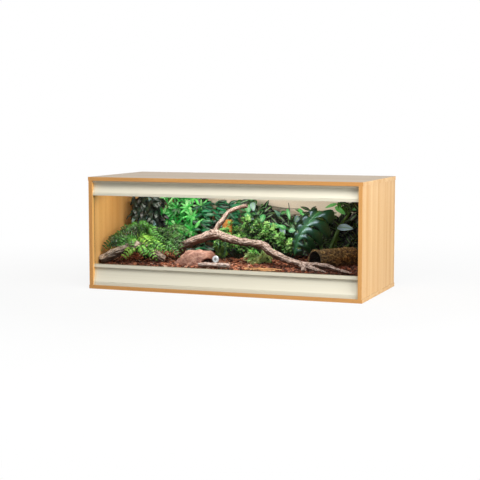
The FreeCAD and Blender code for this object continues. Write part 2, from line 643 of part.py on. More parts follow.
def vent(side):
    """The frame and the flap of one vent, seen from its centre on the back's rear face."""
    across, up = vent_centre(side)
    place = (across, f"{FRONT} + {PANEL_REAR}", f"board + {up}")

    frame = new_body(f"{side}_vent_frame", *place)
    rim = new_sketch(frame, "rim", "XZ")
    rectangle(rim, "-vent_width / 2 - vent_flange", "-vent_height / 2 - vent_flange",
              "vent_width / 2 + vent_flange", "vent_height / 2 + vent_flange")
    rectangle(rim, "-vent_width / 2", "-vent_height / 2", "vent_width / 2", "vent_height / 2")
    pad(frame, rim, "vent_depth", backwards=True)
    sleeve = new_sketch(frame, "sleeve", "XZ")
    rectangle(sleeve, f"-{SLEEVE_WIDTH} / 2", f"-{SLEEVE_HEIGHT} / 2",
              f"{SLEEVE_WIDTH} / 2", f"{SLEEVE_HEIGHT} / 2")
    inner_width = "(vent_width / 2 - vent_shoulder)"
    inner_height = "(vent_height / 2 - vent_shoulder)"
    rectangle(sleeve, f"-{inner_width}", f"-{inner_height}", inner_width, inner_height)
    pad(frame, sleeve, "back_thickness + sleeve_proud")
    sockets = new_sketch(frame, "sockets", "YZ", "vent_width / 2 + pin_length")
    circles(sockets, [(PIVOT_DEPTH, PIVOT_HEIGHT)], "pin_radius + pin_fit")
    pocket(frame, sockets, "vent_width + 2 * pin_length")

    flap = new_body(f"{side}_vent_flap", *place)
    plate = new_sketch(flap, "plate", "XZ", "-flap_lift")
    half_width = "(vent_width / 2 - flap_gap)"
    half_height = "(vent_height / 2 - flap_gap)"
    rectangle(plate, f"-{half_width}", f"-{half_height}", half_width, half_height)
    pad(flap, plate, "flap_thickness", backwards=True)
    notch = new_sketch(flap, "notch", "XZ", "-flap_lift")
    circles(notch, [("0", f"-{half_height}")], "notch_radius")
    pocket(flap, notch, "flap_thickness")
    slot = new_sketch(flap, "slot", "XZ", "-flap_lift")
    slot_reach = f"({half_width} - slot_margin)"
    slot_foot = "(notch_radius - vent_height / 2 + slot_height)"
    rectangle(slot, f"-{slot_reach}", slot_foot, slot_reach, f"{slot_foot} + slot_height")
    first_slot = pocket(flap, slot, "flap_thickness")
    louvres = flap.newObject("PartDesign::LinearPattern", f"{flap.Name}_louvres")
    louvres.Originals = [first_slot]
    louvres.Direction = (slot, ["V_Axis"])
    louvres.setExpression("Length", at(f"{SLOT_COUNT - 1} * slot_pitch"))
    louvres.Occurrences = SLOT_COUNT
    flap.Tip = louvres
    doc.recompute()
    pin_end = f"({half_width} + flap_gap + pin_length - pin_fit)"
    rod = new_sketch(flap, "hinge_rod", "YZ", f"-{pin_end}")
    circles(rod, [(PIVOT_DEPTH, PIVOT_HEIGHT)], "pin_radius")
    pad(flap, rod, f"2 * {pin_end}")
    return frame, flap


left_vent_frame, left_vent_flap = vent("left")
right_vent_frame, right_vent_flap = vent("right")


# The corner fittings. One of each is made, and its copies stand at every corner of the case.
def copies(label, master, placements):
    """One node that holds a copy of the master at each placement."""
    solids = []
    for placement in placements:
        solid = master.Shape.copy()
        solid.Placement = placement.multiply(solid.Placement)
        solids.append(solid)
    return shaped(label, Part.Compound(solids))


def turn_to(axis, degrees):
    """A rotation about one axis."""
    return FreeCAD.Rotation(axis, degrees)


X_AXIS, Y_AXIS, Z_AXIS = FreeCAD.Vector(1, 0, 0), FreeCAD.Vector(0, 1, 0), FreeCAD.Vector(0, 0, 1)
HALF_TURN = 180
UPRIGHT, UPSIDE_DOWN = turn_to(X_AXIS, 0), turn_to(X_AXIS, HALF_TURN)

# A cam housing lies along X with its open side down; the bolt's head enters it from there.
cam_master = new_body("cam_pattern")
housing = new_sketch(cam_master, "housing", "YZ")
circles(housing, [("0", "0")], "cam_radius")
pad(cam_master, housing, "cam_depth")
throat = new_sketch(cam_master, "throat", "XY", "-cam_radius")
circles(throat, [("cam_depth + cam_cover_thickness / 2 - board / 2", "0")], "bolt_radius + bolt_bore_fit")
pocket(cam_master, throat, "cam_radius + bolt_radius", backwards=True)
driver_slot = new_sketch(cam_master, "driver_slot", "YZ", "cam_depth")
rectangle(driver_slot, "-cam_radius / 2", "-keyway_width / 2", "cam_radius / 2", "keyway_width / 2")
pocket(cam_master, driver_slot, "keyway_width")

cover_master = new_body("cam_cover_pattern")
disc = new_sketch(cover_master, "disc", "YZ")
circles(disc, [("0", "0")], "cam_cover_radius")
pad(cover_master, disc, "cam_cover_thickness")

# A cam bolt stands on the board's inner face with its thread below.
bolt_master = new_body("cam_bolt_pattern")
half = new_sketch(bolt_master, "half", "XZ")
neck_foot = "(cam_offset - cam_radius - fitting_fit)"
outline(half, [
    ("0", "-bolt_thread"), ("bolt_thread_radius", "-bolt_thread"), ("bolt_thread_radius", "0"),
    ("bolt_radius", "0"), ("bolt_radius", neck_foot), ("bolt_neck_radius", neck_foot),
    ("bolt_neck_radius", "cam_offset - bolt_radius"), ("bolt_radius", "cam_offset - bolt_radius"),
    ("bolt_radius", "cam_offset"), ("0", "cam_offset"),
])
turned(bolt_master, half)

dowel_master = new_body("dowel_pattern", z="-dowel_short")
round_end = new_sketch(dowel_master, "end", "XY")
circles(round_end, [("0", "0")], "dowel_radius")
pad(dowel_master, round_end, "dowel_long + dowel_short")

# A fascia screw stands with the underside of its head at its origin.
screw_master = new_body("fascia_screw_pattern")
half = new_sketch(screw_master, "half", "XZ")
outline(half, [
    ("0", "-screw_length"), ("screw_radius", "-screw_length + screw_radius"), ("screw_radius", "0"),
    ("screw_head_radius", "0"), ("screw_head_radius - screw_head / 2", "screw_head"), ("0", "screw_head"),
])
turned(screw_master, half)
doc.recompute()

front = number(FRONT)
side_centre = number(SIDE_CENTRE)
inner_face = number(f"{INNER_WIDTH} / 2")
floor_level, ceiling_level = number("board"), number(CEILING)
cam_rows = [front + number(row) for row in CAM_ROWS]
dowel_rows = [front + number(row) for row in DOWEL_ROWS]
cam_levels = [floor_level + number(level) for level in CAM_LEVELS]


def cam_placements(depth_from_inner_face):
    """Cam places: left ones look right, right ones look left, and each opens to its board's end."""
    places = []
    for way in (-1, 1):
        for row in cam_rows:
            for level, turn in zip(cam_levels, (UPRIGHT, UPSIDE_DOWN)):
                look = turn_to(Z_AXIS, HALF_TURN if way > 0 else 0)
                place = FreeCAD.Vector(way * (inner_face + depth_from_inner_face), row, level)
                places.append(FreeCAD.Placement(place, look.multiply(turn)))
    return places


def end_placements(rows):
    """Places on the inner faces of the bottom and top boards, under and over the side boards."""
    return [
        FreeCAD.Placement(FreeCAD.Vector(way * side_centre, row, level), turn)
        for way in (-1, 1) for row in rows
        for level, turn in ((floor_level, UPRIGHT), (ceiling_level, UPSIDE_DOWN))
    ]


screw_depth = front + number(SCREW_ROW)
screw_levels = (
    (floor_level + number("flange_thickness"), UPRIGHT),
    (ceiling_level - number("flange_thickness"), UPSIDE_DOWN),
)
groups = [
    copies("cam_locks", cam_master, cam_placements(number("cam_depth"))),
    copies("cam_covers", cover_master, cam_placements(0)),
    copies("cam_bolts", bolt_master, end_placements(cam_rows)),
    copies("wooden_dowels", dowel_master, end_placements(dowel_rows)),
    copies("fascia_screws", screw_master, [
        FreeCAD.Placement(FreeCAD.Vector(number(place), screw_depth, level), turn)
        for place in SCREW_PLACES for level, turn in screw_levels
    ]),
]


# What stands inside. Places are shares of the inside: across from its middle to a side wall,
# back from the doors to the back panel, and up from the substrate's surface to the top board.
room_half = inner_face
room_front = front + number(f"{RUNNER_BACK} + fascia_flange")
room_back = front + number(f"{PANEL_FRONT} - sleeve_proud")
room_depth = room_back - room_front
seat_gap = number("seat_gap")
substrate_gap = number("substrate_gap")


def ground(back):
    """The height of the substrate at a share of the room's depth."""
    rise = number("substrate_back") - number("substrate_front")
    return floor_level + number("substrate_front") + back * rise


def spot(across, back, up):
    """A place in the room from its three shares."""
    low = ground(back)
    height = low + up * (ceiling_level - low)
    return FreeCAD.Vector(across * room_half, room_front + back * room_depth, height)


def ground_block(width, low, lift):
    """The substrate's wedge: flat below, and rising evenly to the back."""
    start, end = room_front + substrate_gap, room_back - substrate_gap
    corners = [
        FreeCAD.Vector(-width, start, low), FreeCAD.Vector(-width, end, low),
        FreeCAD.Vector(-width, end, ground(1) + lift), FreeCAD.Vector(-width, start, ground(0) + lift),
    ]
    return Part.Face(Part.makePolygon(corners + corners[:1])).extrude(FreeCAD.Vector(2 * width, 0, 0))


substrate = shaped("substrate", ground_block(room_half - substrate_gap, floor_level, 0))
below_ground = ground_block(2 * room_half, -floor_level, seat_gap)


def seated(label, shape):
    """A thing on the substrate: what would lie below the surface is cut away."""
    solid = shape.cut(below_ground).removeSplitter()
    if len(solid.Solids) != 1:
        raise RuntimeError(f"{label} came apart into {len(solid.Solids)} solids")
    return shaped(label, solid.Solids[0])


LIMB_CORNERS = 10


def limb(shares, thickness):
    """A branch: a faceted skin over rings that stand across its run.

    Each row of shares holds a place in the room and the radius there, as a share of the thickness.
    """
    places = [spot(*row[:3]) for row in shares]
    rings = []
    for count, (place, row) in enumerate(zip(places, shares)):
        run = places[min(count + 1, len(places) - 1)] - places[max(count - 1, 0)]
        across = run.cross(Z_AXIS).normalize() * thickness * row[3]
        upwards = across.cross(run).normalize() * thickness * row[3]
        angles = [2 * math.pi * corner / LIMB_CORNERS for corner in range(LIMB_CORNERS)]
        corners = [place + across * math.cos(angle) + upwards * math.sin(angle) for angle in angles]
        rings.append(Part.makePolygon(corners + corners[:1]))
    return Part.makeLoft(rings, True, True)


# The branch: it stands on a short leg at the left and on two twigs at the front right.
# Each row holds the three shares of a place and the radius there as a share of the trunk's.
TRUNK_SHARES = (
    (-0.47, 0.38, -0.016, 0.80), (-0.42, 0.35, 0.214, 1.00), (-0.18, 0.35, 0.366, 1.05),
    (0.04, 0.30, 0.293, 0.95), (0.21, 0.28, 0.257, 0.90), (0.29, 0.26, 0.170, 0.85),
    (0.41, 0.22, 0.097, 0.75), (0.54, 0.19, 0.050, 0.65),
)
FORK_SHARES = (
    (-0.18, 0.35, 0.366, 0.70), (-0.14, 0.37, 0.480, 0.58), (-0.10, 0.40, 0.606, 0.50),
    (-0.03, 0.44, 0.668, 0.45), (0.03, 0.49, 0.692, 0.38),
)
LONG_TWIG_SHARES = (
    (0.54, 0.19, 0.050, 0.55), (0.73, 0.14, 0.066, 0.46), (0.84, 0.08, 0.033, 0.40),
    (0.93, 0.05, 0.011, 0.34),
)
SHORT_TWIG_SHARES = ((0.54, 0.19, 0.050, 0.50), (0.58, 0.05, -0.001, 0.38))

trunk_radius = number("trunk_radius")
trunk, *boughs = [
    limb(shares, trunk_radius)
    for shares in (TRUNK_SHARES, FORK_SHARES, LONG_TWIG_SHARES, SHORT_TWIG_SHARES)
]
main_branch = seated("main_branch", trunk.fuse(boughs))

# The left log arches over the substrate from the left wall.
LEFT_LOG_SHARES = ((-0.98, 0.05, 0.042, 1.20), (-0.74, 0.12, 0.210, 1.05), (-0.53, 0.21, 0.028, 0.95))
left_log = seated("left_log", limb(LEFT_LOG_SHARES, number("log_radius")))

# The small log lies along the front.
SMALL_LOG_SHARES = ((-0.21, 0.055), (0.03, 0.06))
small_radius = number("twig_log_radius")
log_ends = []
for across, back in SMALL_LOG_SHARES:
    log_ends.append(spot(across, back, 0) + Z_AXIS * (small_radius + seat_gap))
log_run = log_ends[1] - log_ends[0]
front_log = seated("front_log", Part.makeCylinder(small_radius, log_run.Length, log_ends[0], log_run))


def lens(start, tip, width, thickness):
    """A pointed plate between two places, as wide as given at its middle."""
    run = tip - start
    across = FreeCAD.Vector(-run.y, run.x, 0)
    across = across.normalize() if across.Length else FreeCAD.Vector(1, 0, 0)
    normal = run.cross(across).normalize()
    middle = (start + tip) * 0.5 + normal * (thickness / 2)
    low = start + normal * (thickness / 2)
    high = tip + normal * (thickness / 2)
    edges = [
        Part.Arc(low, middle + across * (width / 2), high).toShape(),
        Part.Arc(high, middle - across * (width / 2), low).toShape(),
    ]
    return Part.Face(Part.Wire(edges)).extrude(normal * -thickness)


# The flat bark lies in front of the branch.
SLAB_SHARES = (0.27, 0.075)
slab_thickness = number("slab_thickness")
slab_place = spot(*SLAB_SHARES, 0) + Z_AXIS * (slab_thickness / 2)
slab_half = FreeCAD.Vector(number("slab_length") / 2, 0, 0)
bark_slab = seated("bark_slab", lens(slab_place - slab_half, slab_place + slab_half,
                                     number("slab_depth"), 2 * slab_thickness))

# The rock hide: a faceted shell with a mouth at the front.
ROCK_SHARES = (-0.26, 0.21)
# The middle of its mouth, across as a share of its width and up as a share of its height.
MOUTH_SHARES = (0.17, 0.09)
# Each layer's height, and its spread, as shares of the rock's own sizes.
ROCK_LAYER_SHARES = ((-0.60, 1.00), (0.10, 1.00), (0.55, 0.88), (0.85, 0.66), (1.00, 0.40))
ROCK_CORNERS = 11
ROCK_BUMP_SHARE = 0.06


def rock(width, depth, height, foot):
    """A solid rock built from rough rings."""
    rings = []
    for up, spread in ROCK_LAYER_SHARES:
        corners = []
        for count in range(ROCK_CORNERS):
            angle = 2 * math.pi * count / ROCK_CORNERS
            bump = 1 - ROCK_BUMP_SHARE * (1 + math.sin(3 * angle))
            corners.append(foot + FreeCAD.Vector(
                math.cos(angle) * bump * spread * width / 2,
                math.sin(angle) * bump * spread * depth / 2,
                up * height,
            ))
        rings.append(Part.makePolygon(corners + corners[:1]))
    return Part.makeLoft(rings, True, True)


rock_width, rock_depth, rock_height = number("rock_width"), number("rock_depth"), number("rock_height")
rock_wall, mouth_radius = number("rock_wall"), number("mouth_radius")
rock_foot = spot(*ROCK_SHARES, 0)
hollow = rock(rock_width - 2 * rock_wall, rock_depth - 2 * rock_wall, rock_height - rock_wall, rock_foot)
mouth_across, mouth_up = MOUTH_SHARES
mouth_start = rock_foot + FreeCAD.Vector(mouth_across * rock_width, -rock_depth, mouth_up * rock_height)
mouth = Part.makeCylinder(mouth_radius, rock_depth, mouth_start, Y_AXIS)
rock_hide = seated("rock_hide", rock(rock_width, rock_depth, rock_height, rock_foot).cut([hollow, mouth]))

# The cork hide: a half round of cork bark, open at both ends.
CORK_SHARES = (0.61, 0.25)
CORK_TURN_DEGREES = 55
cork_radius, cork_wall = number("cork_radius"), number("cork_wall")
cork_run = turn_to(Z_AXIS, CORK_TURN_DEGREES).multVec(X_AXIS)
cork_length = number("cork_length")
cork_start = spot(*CORK_SHARES, 0) + Z_AXIS * number("cork_rise")
bore_start = cork_start - cork_run * cork_wall
bore = Part.makeCylinder(cork_radius - cork_wall, cork_length + 2 * cork_wall, bore_start, cork_run)
cork_hide = seated("cork_hide", Part.makeCylinder(cork_radius, cork_length, cork_start, cork_run).cut(bore))

# The cork tile stands upright among the plants.
TILE_SHARES = (-0.20, 0.58)
tile_size = [number(name) for name in ("tile_width", "tile_thickness", "tile_height")]
cork_tile = seated("cork_tile", Part.makeBox(*tile_size, spot(*TILE_SHARES, 0)))


# The plants: moulded leaves on a stem. A leaf's place follows the stem's own turn from leaf to leaf.
LEAF_TURN = 137.5
stem_radius, leaf_thickness = number("stem_radius"), number("leaf_thickness")


def plant(label, foot_shares, crown_shares, low_share, reach_shares, leaves, slim_share, lift_share):
    """A stem with leaves all round.

    foot_shares place it across and back, crown_shares place its top across, back and up, low_share
    is the height of the lowest leaf, reach_shares are how far the leaves spread across and back,
    slim_share is a leaf's width to its length, and lift_share is how far its tip rises.
    """
    foot, crown = spot(*foot_shares, 0), spot(*crown_shares)
    stem = Part.makeCylinder(stem_radius, (crown - foot).Length, foot, crown - foot)
    rise = lift_share * (ceiling_level - foot.z)
    lowest = low_share / crown_shares[-1]
    highest = 1 - lift_share / crown_shares[-1]
    blades = []
    for count in range(leaves):
        way = math.radians(LEAF_TURN * count)
        start = foot + (crown - foot) * (lowest + (highest - lowest) * count / (leaves - 1))
        tip = start + FreeCAD.Vector(
            reach_shares[0] * room_half * math.cos(way), reach_shares[1] * room_depth * math.sin(way), rise)
        blades.append(lens(start, tip, slim_share * (tip - start).Length, leaf_thickness))
    return seated(label, stem.fuse(blades))


# Each plant: its name and the shares that the function above takes.
PLANT_SHARES = (
    ("dark_leaf_plant", (-0.84, 0.56), (-0.84, 0.56, 0.78), 0.36, (0.13, 0.13), 12, 0.42, 0.058),
    ("fern", (-0.74, 0.36), (-0.74, 0.36, 0.44), 0.11, (0.245, 0.11), 13, 0.28, 0.101),
    ("bamboo_plant", (-0.58, 0.80), (-0.58, 0.80, 0.78), 0.29, (0.165, 0.13), 14, 0.24, 0.066),
    ("teal_leaf_plant", (-0.27, 0.75), (-0.27, 0.75, 0.72), 0.34, (0.125, 0.15), 10, 0.34, 0.066),
    ("ivy_plant", (-0.03, 0.87), (-0.03, 0.87, 0.75), 0.42, (0.10, 0.075), 9, 0.60, 0.026),
    ("box_shrub", (0.15, 0.64), (0.15, 0.64, 0.52), 0.08, (0.255, 0.12), 18, 0.34, 0.058),
    ("trailing_plant", (0.25, 0.87), (0.25, 0.87, 0.71), 0.46, (0.14, 0.075), 9, 0.45, 0.033),
    ("creeping_plant", (0.15, 0.40), (0.15, 0.40, 0.17), 0.04, (0.11, 0.06), 8, 0.45, 0.045),
    ("moss_plant", (-0.18, 0.49), (-0.18, 0.49, 0.18), 0.04, (0.055, 0.05), 7, 0.60, 0.038),
    ("broad_leaf_plant", (0.66, 0.66), (0.78, 0.82, 0.78), 0.38, (0.18, 0.11), 11, 0.44, 0.052),
)
plants = [plant(*shares) for shares in PLANT_SHARES]

# The large split-leaf plant: one great leaf that faces the front on its own stalk.
BIG_LEAF_SHARES = ((0.45, 0.44, 0.145), (0.60, 0.52, 0.679))
STALK_FOOT_SHARES = (0.54, 0.75)
tip, neck = (spot(*shares) for shares in BIG_LEAF_SHARES)
tip = neck + (tip - neck).normalize() * number("big_leaf_length")
blade_run = tip - neck
sideways = blade_run.cross(Y_AXIS).normalize() * (number("big_leaf_width") / 2)
middle = (neck + tip) * 0.5
blade_edges = [
    Part.Arc(neck, middle + sideways, tip).toShape(),
    Part.Arc(tip, middle - sideways, neck).toShape(),
]
blade = Part.Face(Part.Wire(blade_edges)).extrude(sideways.cross(blade_run).normalize() * leaf_thickness)
stalk_foot = spot(*STALK_FOOT_SHARES, 0)
stalk_bend = stalk_foot + Z_AXIS * ((neck.z - stalk_foot.z) / 2)
stalk = [
    Part.makeCylinder(stem_radius, (finish - start).Length, start, finish - start)
    for start, finish in ((stalk_foot, stalk_bend), (stalk_bend, neck))
]
knuckle = Part.makeSphere(stem_radius, stalk_bend)
split_leaf_plant = seated("split_leaf_plant", blade.fuse([*stalk, knuckle]))

doc.recompute()

NODES = [
    bottom_board, top_board, left_side_board, right_side_board, *edge_bands,
    left_back_panel, right_back_panel, back_joint_strip,
    bottom_fascia, top_fascia, *end_caps, bottom_runner, top_runner,
    left_glass_door, right_glass_door, lock_barrel, lock_washer, lock_nut, lock_plug,
    left_vent_frame, left_vent_flap, right_vent_frame, right_vent_flap, *groups,
    substrate, main_branch, left_log, front_log, bark_slab, rock_hide, cork_hide, cork_tile,
    *plants, split_leaf_plant,
]

for item in doc.Objects:
    if {"Invalid", "Error"} & set(item.State):
        raise RuntimeError(f"{item.Name} is {item.State}")
os.makedirs("parts", exist_ok=True)
for node in NODES:
    if node.Shape.isNull() or not node.Shape.isValid():
        raise RuntimeError(f"{node.Label} has no valid shape")
    node.Shape.exportStep(f"parts/{node.Label}.step")
print(len(NODES), "nodes")
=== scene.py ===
import math
import random

import bmesh
import bpy
import numpy as np
from mathutils import Matrix, Vector, noise


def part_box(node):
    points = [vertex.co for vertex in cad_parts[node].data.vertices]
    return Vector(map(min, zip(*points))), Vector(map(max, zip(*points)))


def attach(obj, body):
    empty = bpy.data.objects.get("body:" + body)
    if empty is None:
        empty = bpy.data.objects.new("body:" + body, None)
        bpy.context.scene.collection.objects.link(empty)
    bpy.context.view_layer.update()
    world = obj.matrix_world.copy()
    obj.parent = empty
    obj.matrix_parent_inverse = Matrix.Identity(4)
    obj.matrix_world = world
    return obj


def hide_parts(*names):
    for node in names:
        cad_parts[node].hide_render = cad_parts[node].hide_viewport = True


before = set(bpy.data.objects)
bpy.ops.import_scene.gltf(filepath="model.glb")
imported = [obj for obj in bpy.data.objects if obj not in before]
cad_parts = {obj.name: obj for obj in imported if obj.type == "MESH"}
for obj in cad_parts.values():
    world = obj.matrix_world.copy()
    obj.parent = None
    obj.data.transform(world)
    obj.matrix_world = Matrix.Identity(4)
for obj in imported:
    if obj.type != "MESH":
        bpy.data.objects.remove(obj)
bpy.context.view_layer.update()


# The four case boards: chipboard of 15 mm, faced with a beech-print melamine paper that is pressed
# on in a hot press. The print's grain runs up the sides and along the top and bottom. Cams and
# dowels hold them together. The boards are CAD nodes, and so is the edging on their front edges.
LIGHT_BEECH = "#F3CD97"
DARK_BEECH = "#DDA765"
PORE_BROWN = "#AE7A45"
STREAK_WIDTH, STREAK_LENGTH = 0.034, 1.4    # one broad streak of the print
FIBRE_WIDTH, FIBRE_LENGTH = 0.0045, 0.22    # real fibre lines are near 1 mm wide and wouldn't show
PORE_WIDTH, PORE_LENGTH = 0.0016, 0.011     # real pores are near 0.3 mm wide and wouldn't show
PORE_DEPTH = 0.00006


def linear(colour):
    """A colour's sRGB hex as the linear values that the shaders take."""
    parts = [int(colour[place:place + 2], 16) / 255 for place in (1, 3, 5)]
    return (*[part / 12.92 if part <= 0.04045 else ((part + 0.055) / 1.055) ** 2.4
              for part in parts], 1.0)


def add(tree, kind, settings=None, inputs=None):
    """Add a node: its own settings, then values or other nodes' sockets for its inputs."""
    made = tree.nodes.new(kind)
    for key, value in (settings or {}).items():
        if key == "stops":
            ramp = made.color_ramp
            while len(ramp.elements) < len(value):
                ramp.elements.new(0.5)
            for element, (place, colour) in zip(ramp.elements, value):
                element.position, element.color = place, colour
        else:
            setattr(made, key, value)
    for key, value in (inputs or {}).items():
        if isinstance(value, bpy.types.NodeSocket):
            tree.links.new(value, made.inputs[key])
        else:
            made.inputs[key].default_value = value
    return made


def new_material(name, roughness, metallic=0.0, ior=None):
    """A material with its node tree and its Principled shader, which keeps its IOR of 1.5 unless
    one is given."""
    material = bpy.data.materials.new(name)
    material.use_nodes = True
    tree = material.node_tree
    shader = tree.nodes["Principled BSDF"]
    shader.inputs["Roughness"].default_value = roughness
    shader.inputs["Metallic"].default_value = metallic
    if ior:
        shader.inputs["IOR"].default_value = ior
    return material, tree, shader


def stretched(tree, sizes):
    """Object coordinates counted in steps of the given sizes, in metres, along X, Y and Z."""
    coordinates = add(tree, "ShaderNodeTexCoord").outputs["Object"]
    steps = tuple(1 / size for size in sizes)
    return add(tree, "ShaderNodeMapping", {}, {
        "Vector": coordinates, "Scale": steps}).outputs["Vector"]


def bumped(tree, shader, height, metres):
    """Let a height pattern stand out from the surface by so many metres."""
    bump = add(tree, "ShaderNodeBump", {}, {"Height": height, "Distance": metres, "Strength": 1.0})
    tree.links.new(bump.outputs["Normal"], shader.inputs["Normal"])


def beech_laminate(name, grain_axis, light=LIGHT_BEECH, dark=DARK_BEECH,
                   towards=(0, 0, 1), tint="#FFFFFF"):
    """Melamine-faced beech print: streaks, fibres and short pores, under a low silk sheen; the face
    that looks towards a direction is multiplied by a tint, a painted light and shade on that face."""
    material, tree, shader = new_material(name, 0.38)

    def along_grain(width, length):
        sizes = [width] * 3
        sizes[grain_axis] = length
        return stretched(tree, sizes)

    streaks = add(tree, "ShaderNodeTexNoise", {}, {
        "Vector": along_grain(STREAK_WIDTH, STREAK_LENGTH), "Scale": 1.0, "Detail": 2.0,
        "Distortion": 0.25}).outputs["Fac"]
    fibres = add(tree, "ShaderNodeTexNoise", {}, {
        "Vector": along_grain(FIBRE_WIDTH, FIBRE_LENGTH), "Scale": 1.0,
        "Detail": 2.0}).outputs["Fac"]
    pores = add(tree, "ShaderNodeTexNoise", {}, {
        "Vector": along_grain(PORE_WIDTH, PORE_LENGTH), "Scale": 1.0,
        "Detail": 1.0}).outputs["Fac"]
    figure = add(tree, "ShaderNodeMix", {}, {0: 0.34, 2: streaks, 3: fibres}).outputs[0]
    wood = add(tree, "ShaderNodeValToRGB", {
        "stops": ((0.30, linear(dark)), (0.66, linear(light)))}, {"Fac": figure}).outputs["Color"]
    pits = add(tree, "ShaderNodeMapRange", {}, {
        "Value": pores, 1: 0.64, 2: 0.72, 3: 0.0, 4: 0.42}).outputs[0]
    pored = add(tree, "ShaderNodeMix", {"data_type": "RGBA"}, {
        0: pits, 6: wood, 7: linear(PORE_BROWN)}).outputs[2]
    # The face that looks towards the given direction takes the tint: painted light and shade.
    facing = add(tree, "ShaderNodeVectorMath", {"operation": "DOT_PRODUCT"}, {
        0: add(tree, "ShaderNodeNewGeometry").outputs["Normal"], 1: towards}).outputs["Value"]
    painted_face_mask = add(tree, "ShaderNodeMath", {"operation": "GREATER_THAN"}, {
        0: facing, 1: 0.7}).outputs[0]
    colour = add(tree, "ShaderNodeMix", {"data_type": "RGBA", "blend_type": "MULTIPLY"}, {
        0: painted_face_mask, 6: pored, 7: linear(tint)}).outputs[2]
    tree.links.new(colour, shader.inputs["Base Color"])
    bumped(tree, shader, pores, PORE_DEPTH)
    return material


def dress(material, *nodes):
    """Give CAD nodes their material."""
    for node in nodes:
        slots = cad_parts[node].material_slots
        if not slots:
            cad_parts[node].data.materials.append(material)
        for place in slots:
            place.material = material


# The two tints below are painted light: warmth on the inner walls and shade on the upper faces.
PAINTED_LAMP_WARMTH = "#F8EDD1"        # painted lamp warmth on the sides' inner faces
PAINTED_TOP_SHADE = "#AAB6CE"        # painted shade on the lying boards' upper faces, darker and greyer than the print
EDGING = "#E3AC68", "#C98A48"
dress(beech_laminate("beech_print_left", 2, towards=(1, 0, 0), tint=PAINTED_LAMP_WARMTH),
      "left_side_board")
dress(beech_laminate("beech_print_right", 2, towards=(-1, 0, 0), tint=PAINTED_LAMP_WARMTH),
      "right_side_board")
dress(beech_laminate("beech_print_lying", 0, tint=PAINTED_TOP_SHADE), "bottom_board", "top_board")
dress(beech_laminate("beech_edging_upright", 2, *EDGING), "left_edge_band", "right_edge_band")
dress(beech_laminate("beech_edging_lying", 0, *EDGING), "bottom_edge_band", "top_edge_band")


# The back: two sheets of 4 mm hardboard in grooves, cream-papered inside and bare brown behind.
# A white plastic strip joins them in the middle. Both faces are matt with a faint felt of fibres.
FELT_SIZE = 0.004


def mottled(tree, shader, sizes, stops, detail, relief, roughness=0.5):
    """A cloudy pattern with patches of the given sizes: it picks the shader's colour, and it stands
    out from the surface by its relief in metres."""
    clouds = add(tree, "ShaderNodeTexNoise", {}, {
        "Vector": stretched(tree, sizes), "Scale": 1.0, "Detail": detail,
        "Roughness": roughness}).outputs["Fac"]
    colour = add(tree, "ShaderNodeValToRGB", {
        "stops": [(place, linear(shade)) for place, shade in stops]}, {
        "Fac": clouds}).outputs["Color"]
    tree.links.new(colour, shader.inputs["Base Color"])
    bumped(tree, shader, clouds, relief)
    return clouds, colour


material, tree, shader = new_material("papered_hardboard", 0.62)
felt, paper = mottled(tree, shader, [FELT_SIZE] * 3, ((0.3, "#E6DAC6"), (0.7, "#F1E8D8")),
                      detail=4.0, relief=0.0001)
side_seen = add(tree, "ShaderNodeSeparateXYZ", {}, {
    0: add(tree, "ShaderNodeNewGeometry").outputs["Normal"]}).outputs["Y"]
behind = add(tree, "ShaderNodeMath", {"operation": "GREATER_THAN"}, {
    0: side_seen, 1: 0.5}).outputs[0]
board = add(tree, "ShaderNodeValToRGB", {
    "stops": ((0.3, linear("#6E4D33")), (0.7, linear("#8D6848")))}, {"Fac": felt}).outputs["Color"]
face = add(tree, "ShaderNodeMix", {"data_type": "RGBA"}, {
    0: behind, 6: paper, 7: board}).outputs[2]
tree.links.new(face, shader.inputs["Base Color"])
dress(material, "left_back_panel", "right_back_panel")


# The fascias above and below the doors, with their end caps, and the joint strip of the back:
# hollow cream PVC sections. They are extruded, which leaves faint draw lines along them, and cut
# to length; the caps are moulded and pushed into the ends.
DRAW_LINE_WIDTH = 0.0014        # real draw lines are near 0.2 mm wide and wouldn't show
DRAW_LINE_LENGTH = 0.9


def cream_pvc(name, light, dark, draw_axis):
    """Extruded PVC: an even cream with a soft sheen and very shallow draw lines."""
    material, tree, shader = new_material(name, 0.36)
    sizes = [DRAW_LINE_WIDTH] * 3
    sizes[draw_axis] = DRAW_LINE_LENGTH
    mottled(tree, shader, sizes, ((0.25, dark), (0.75, light)), detail=1.0, relief=0.00003)
    return material


dress(cream_pvc("cream_pvc_extruded", "#E3DECB", "#DDD7C2", 0), "bottom_fascia", "top_fascia")
dress(cream_pvc("cream_pvc_moulded", "#DCD4BA", "#D5CDB2", 2), "bottom_left_end_cap",
      "bottom_right_end_cap", "top_left_end_cap", "top_right_end_cap")
dress(cream_pvc("cream_pvc_strip", "#E9E4D4", "#E2DCCA", 2), "back_joint_strip")
dress(cream_pvc("runner_pvc_extruded", "#CFC7AC", "#C5BDA2", 0),
      "bottom_glass_runner", "top_glass_runner")


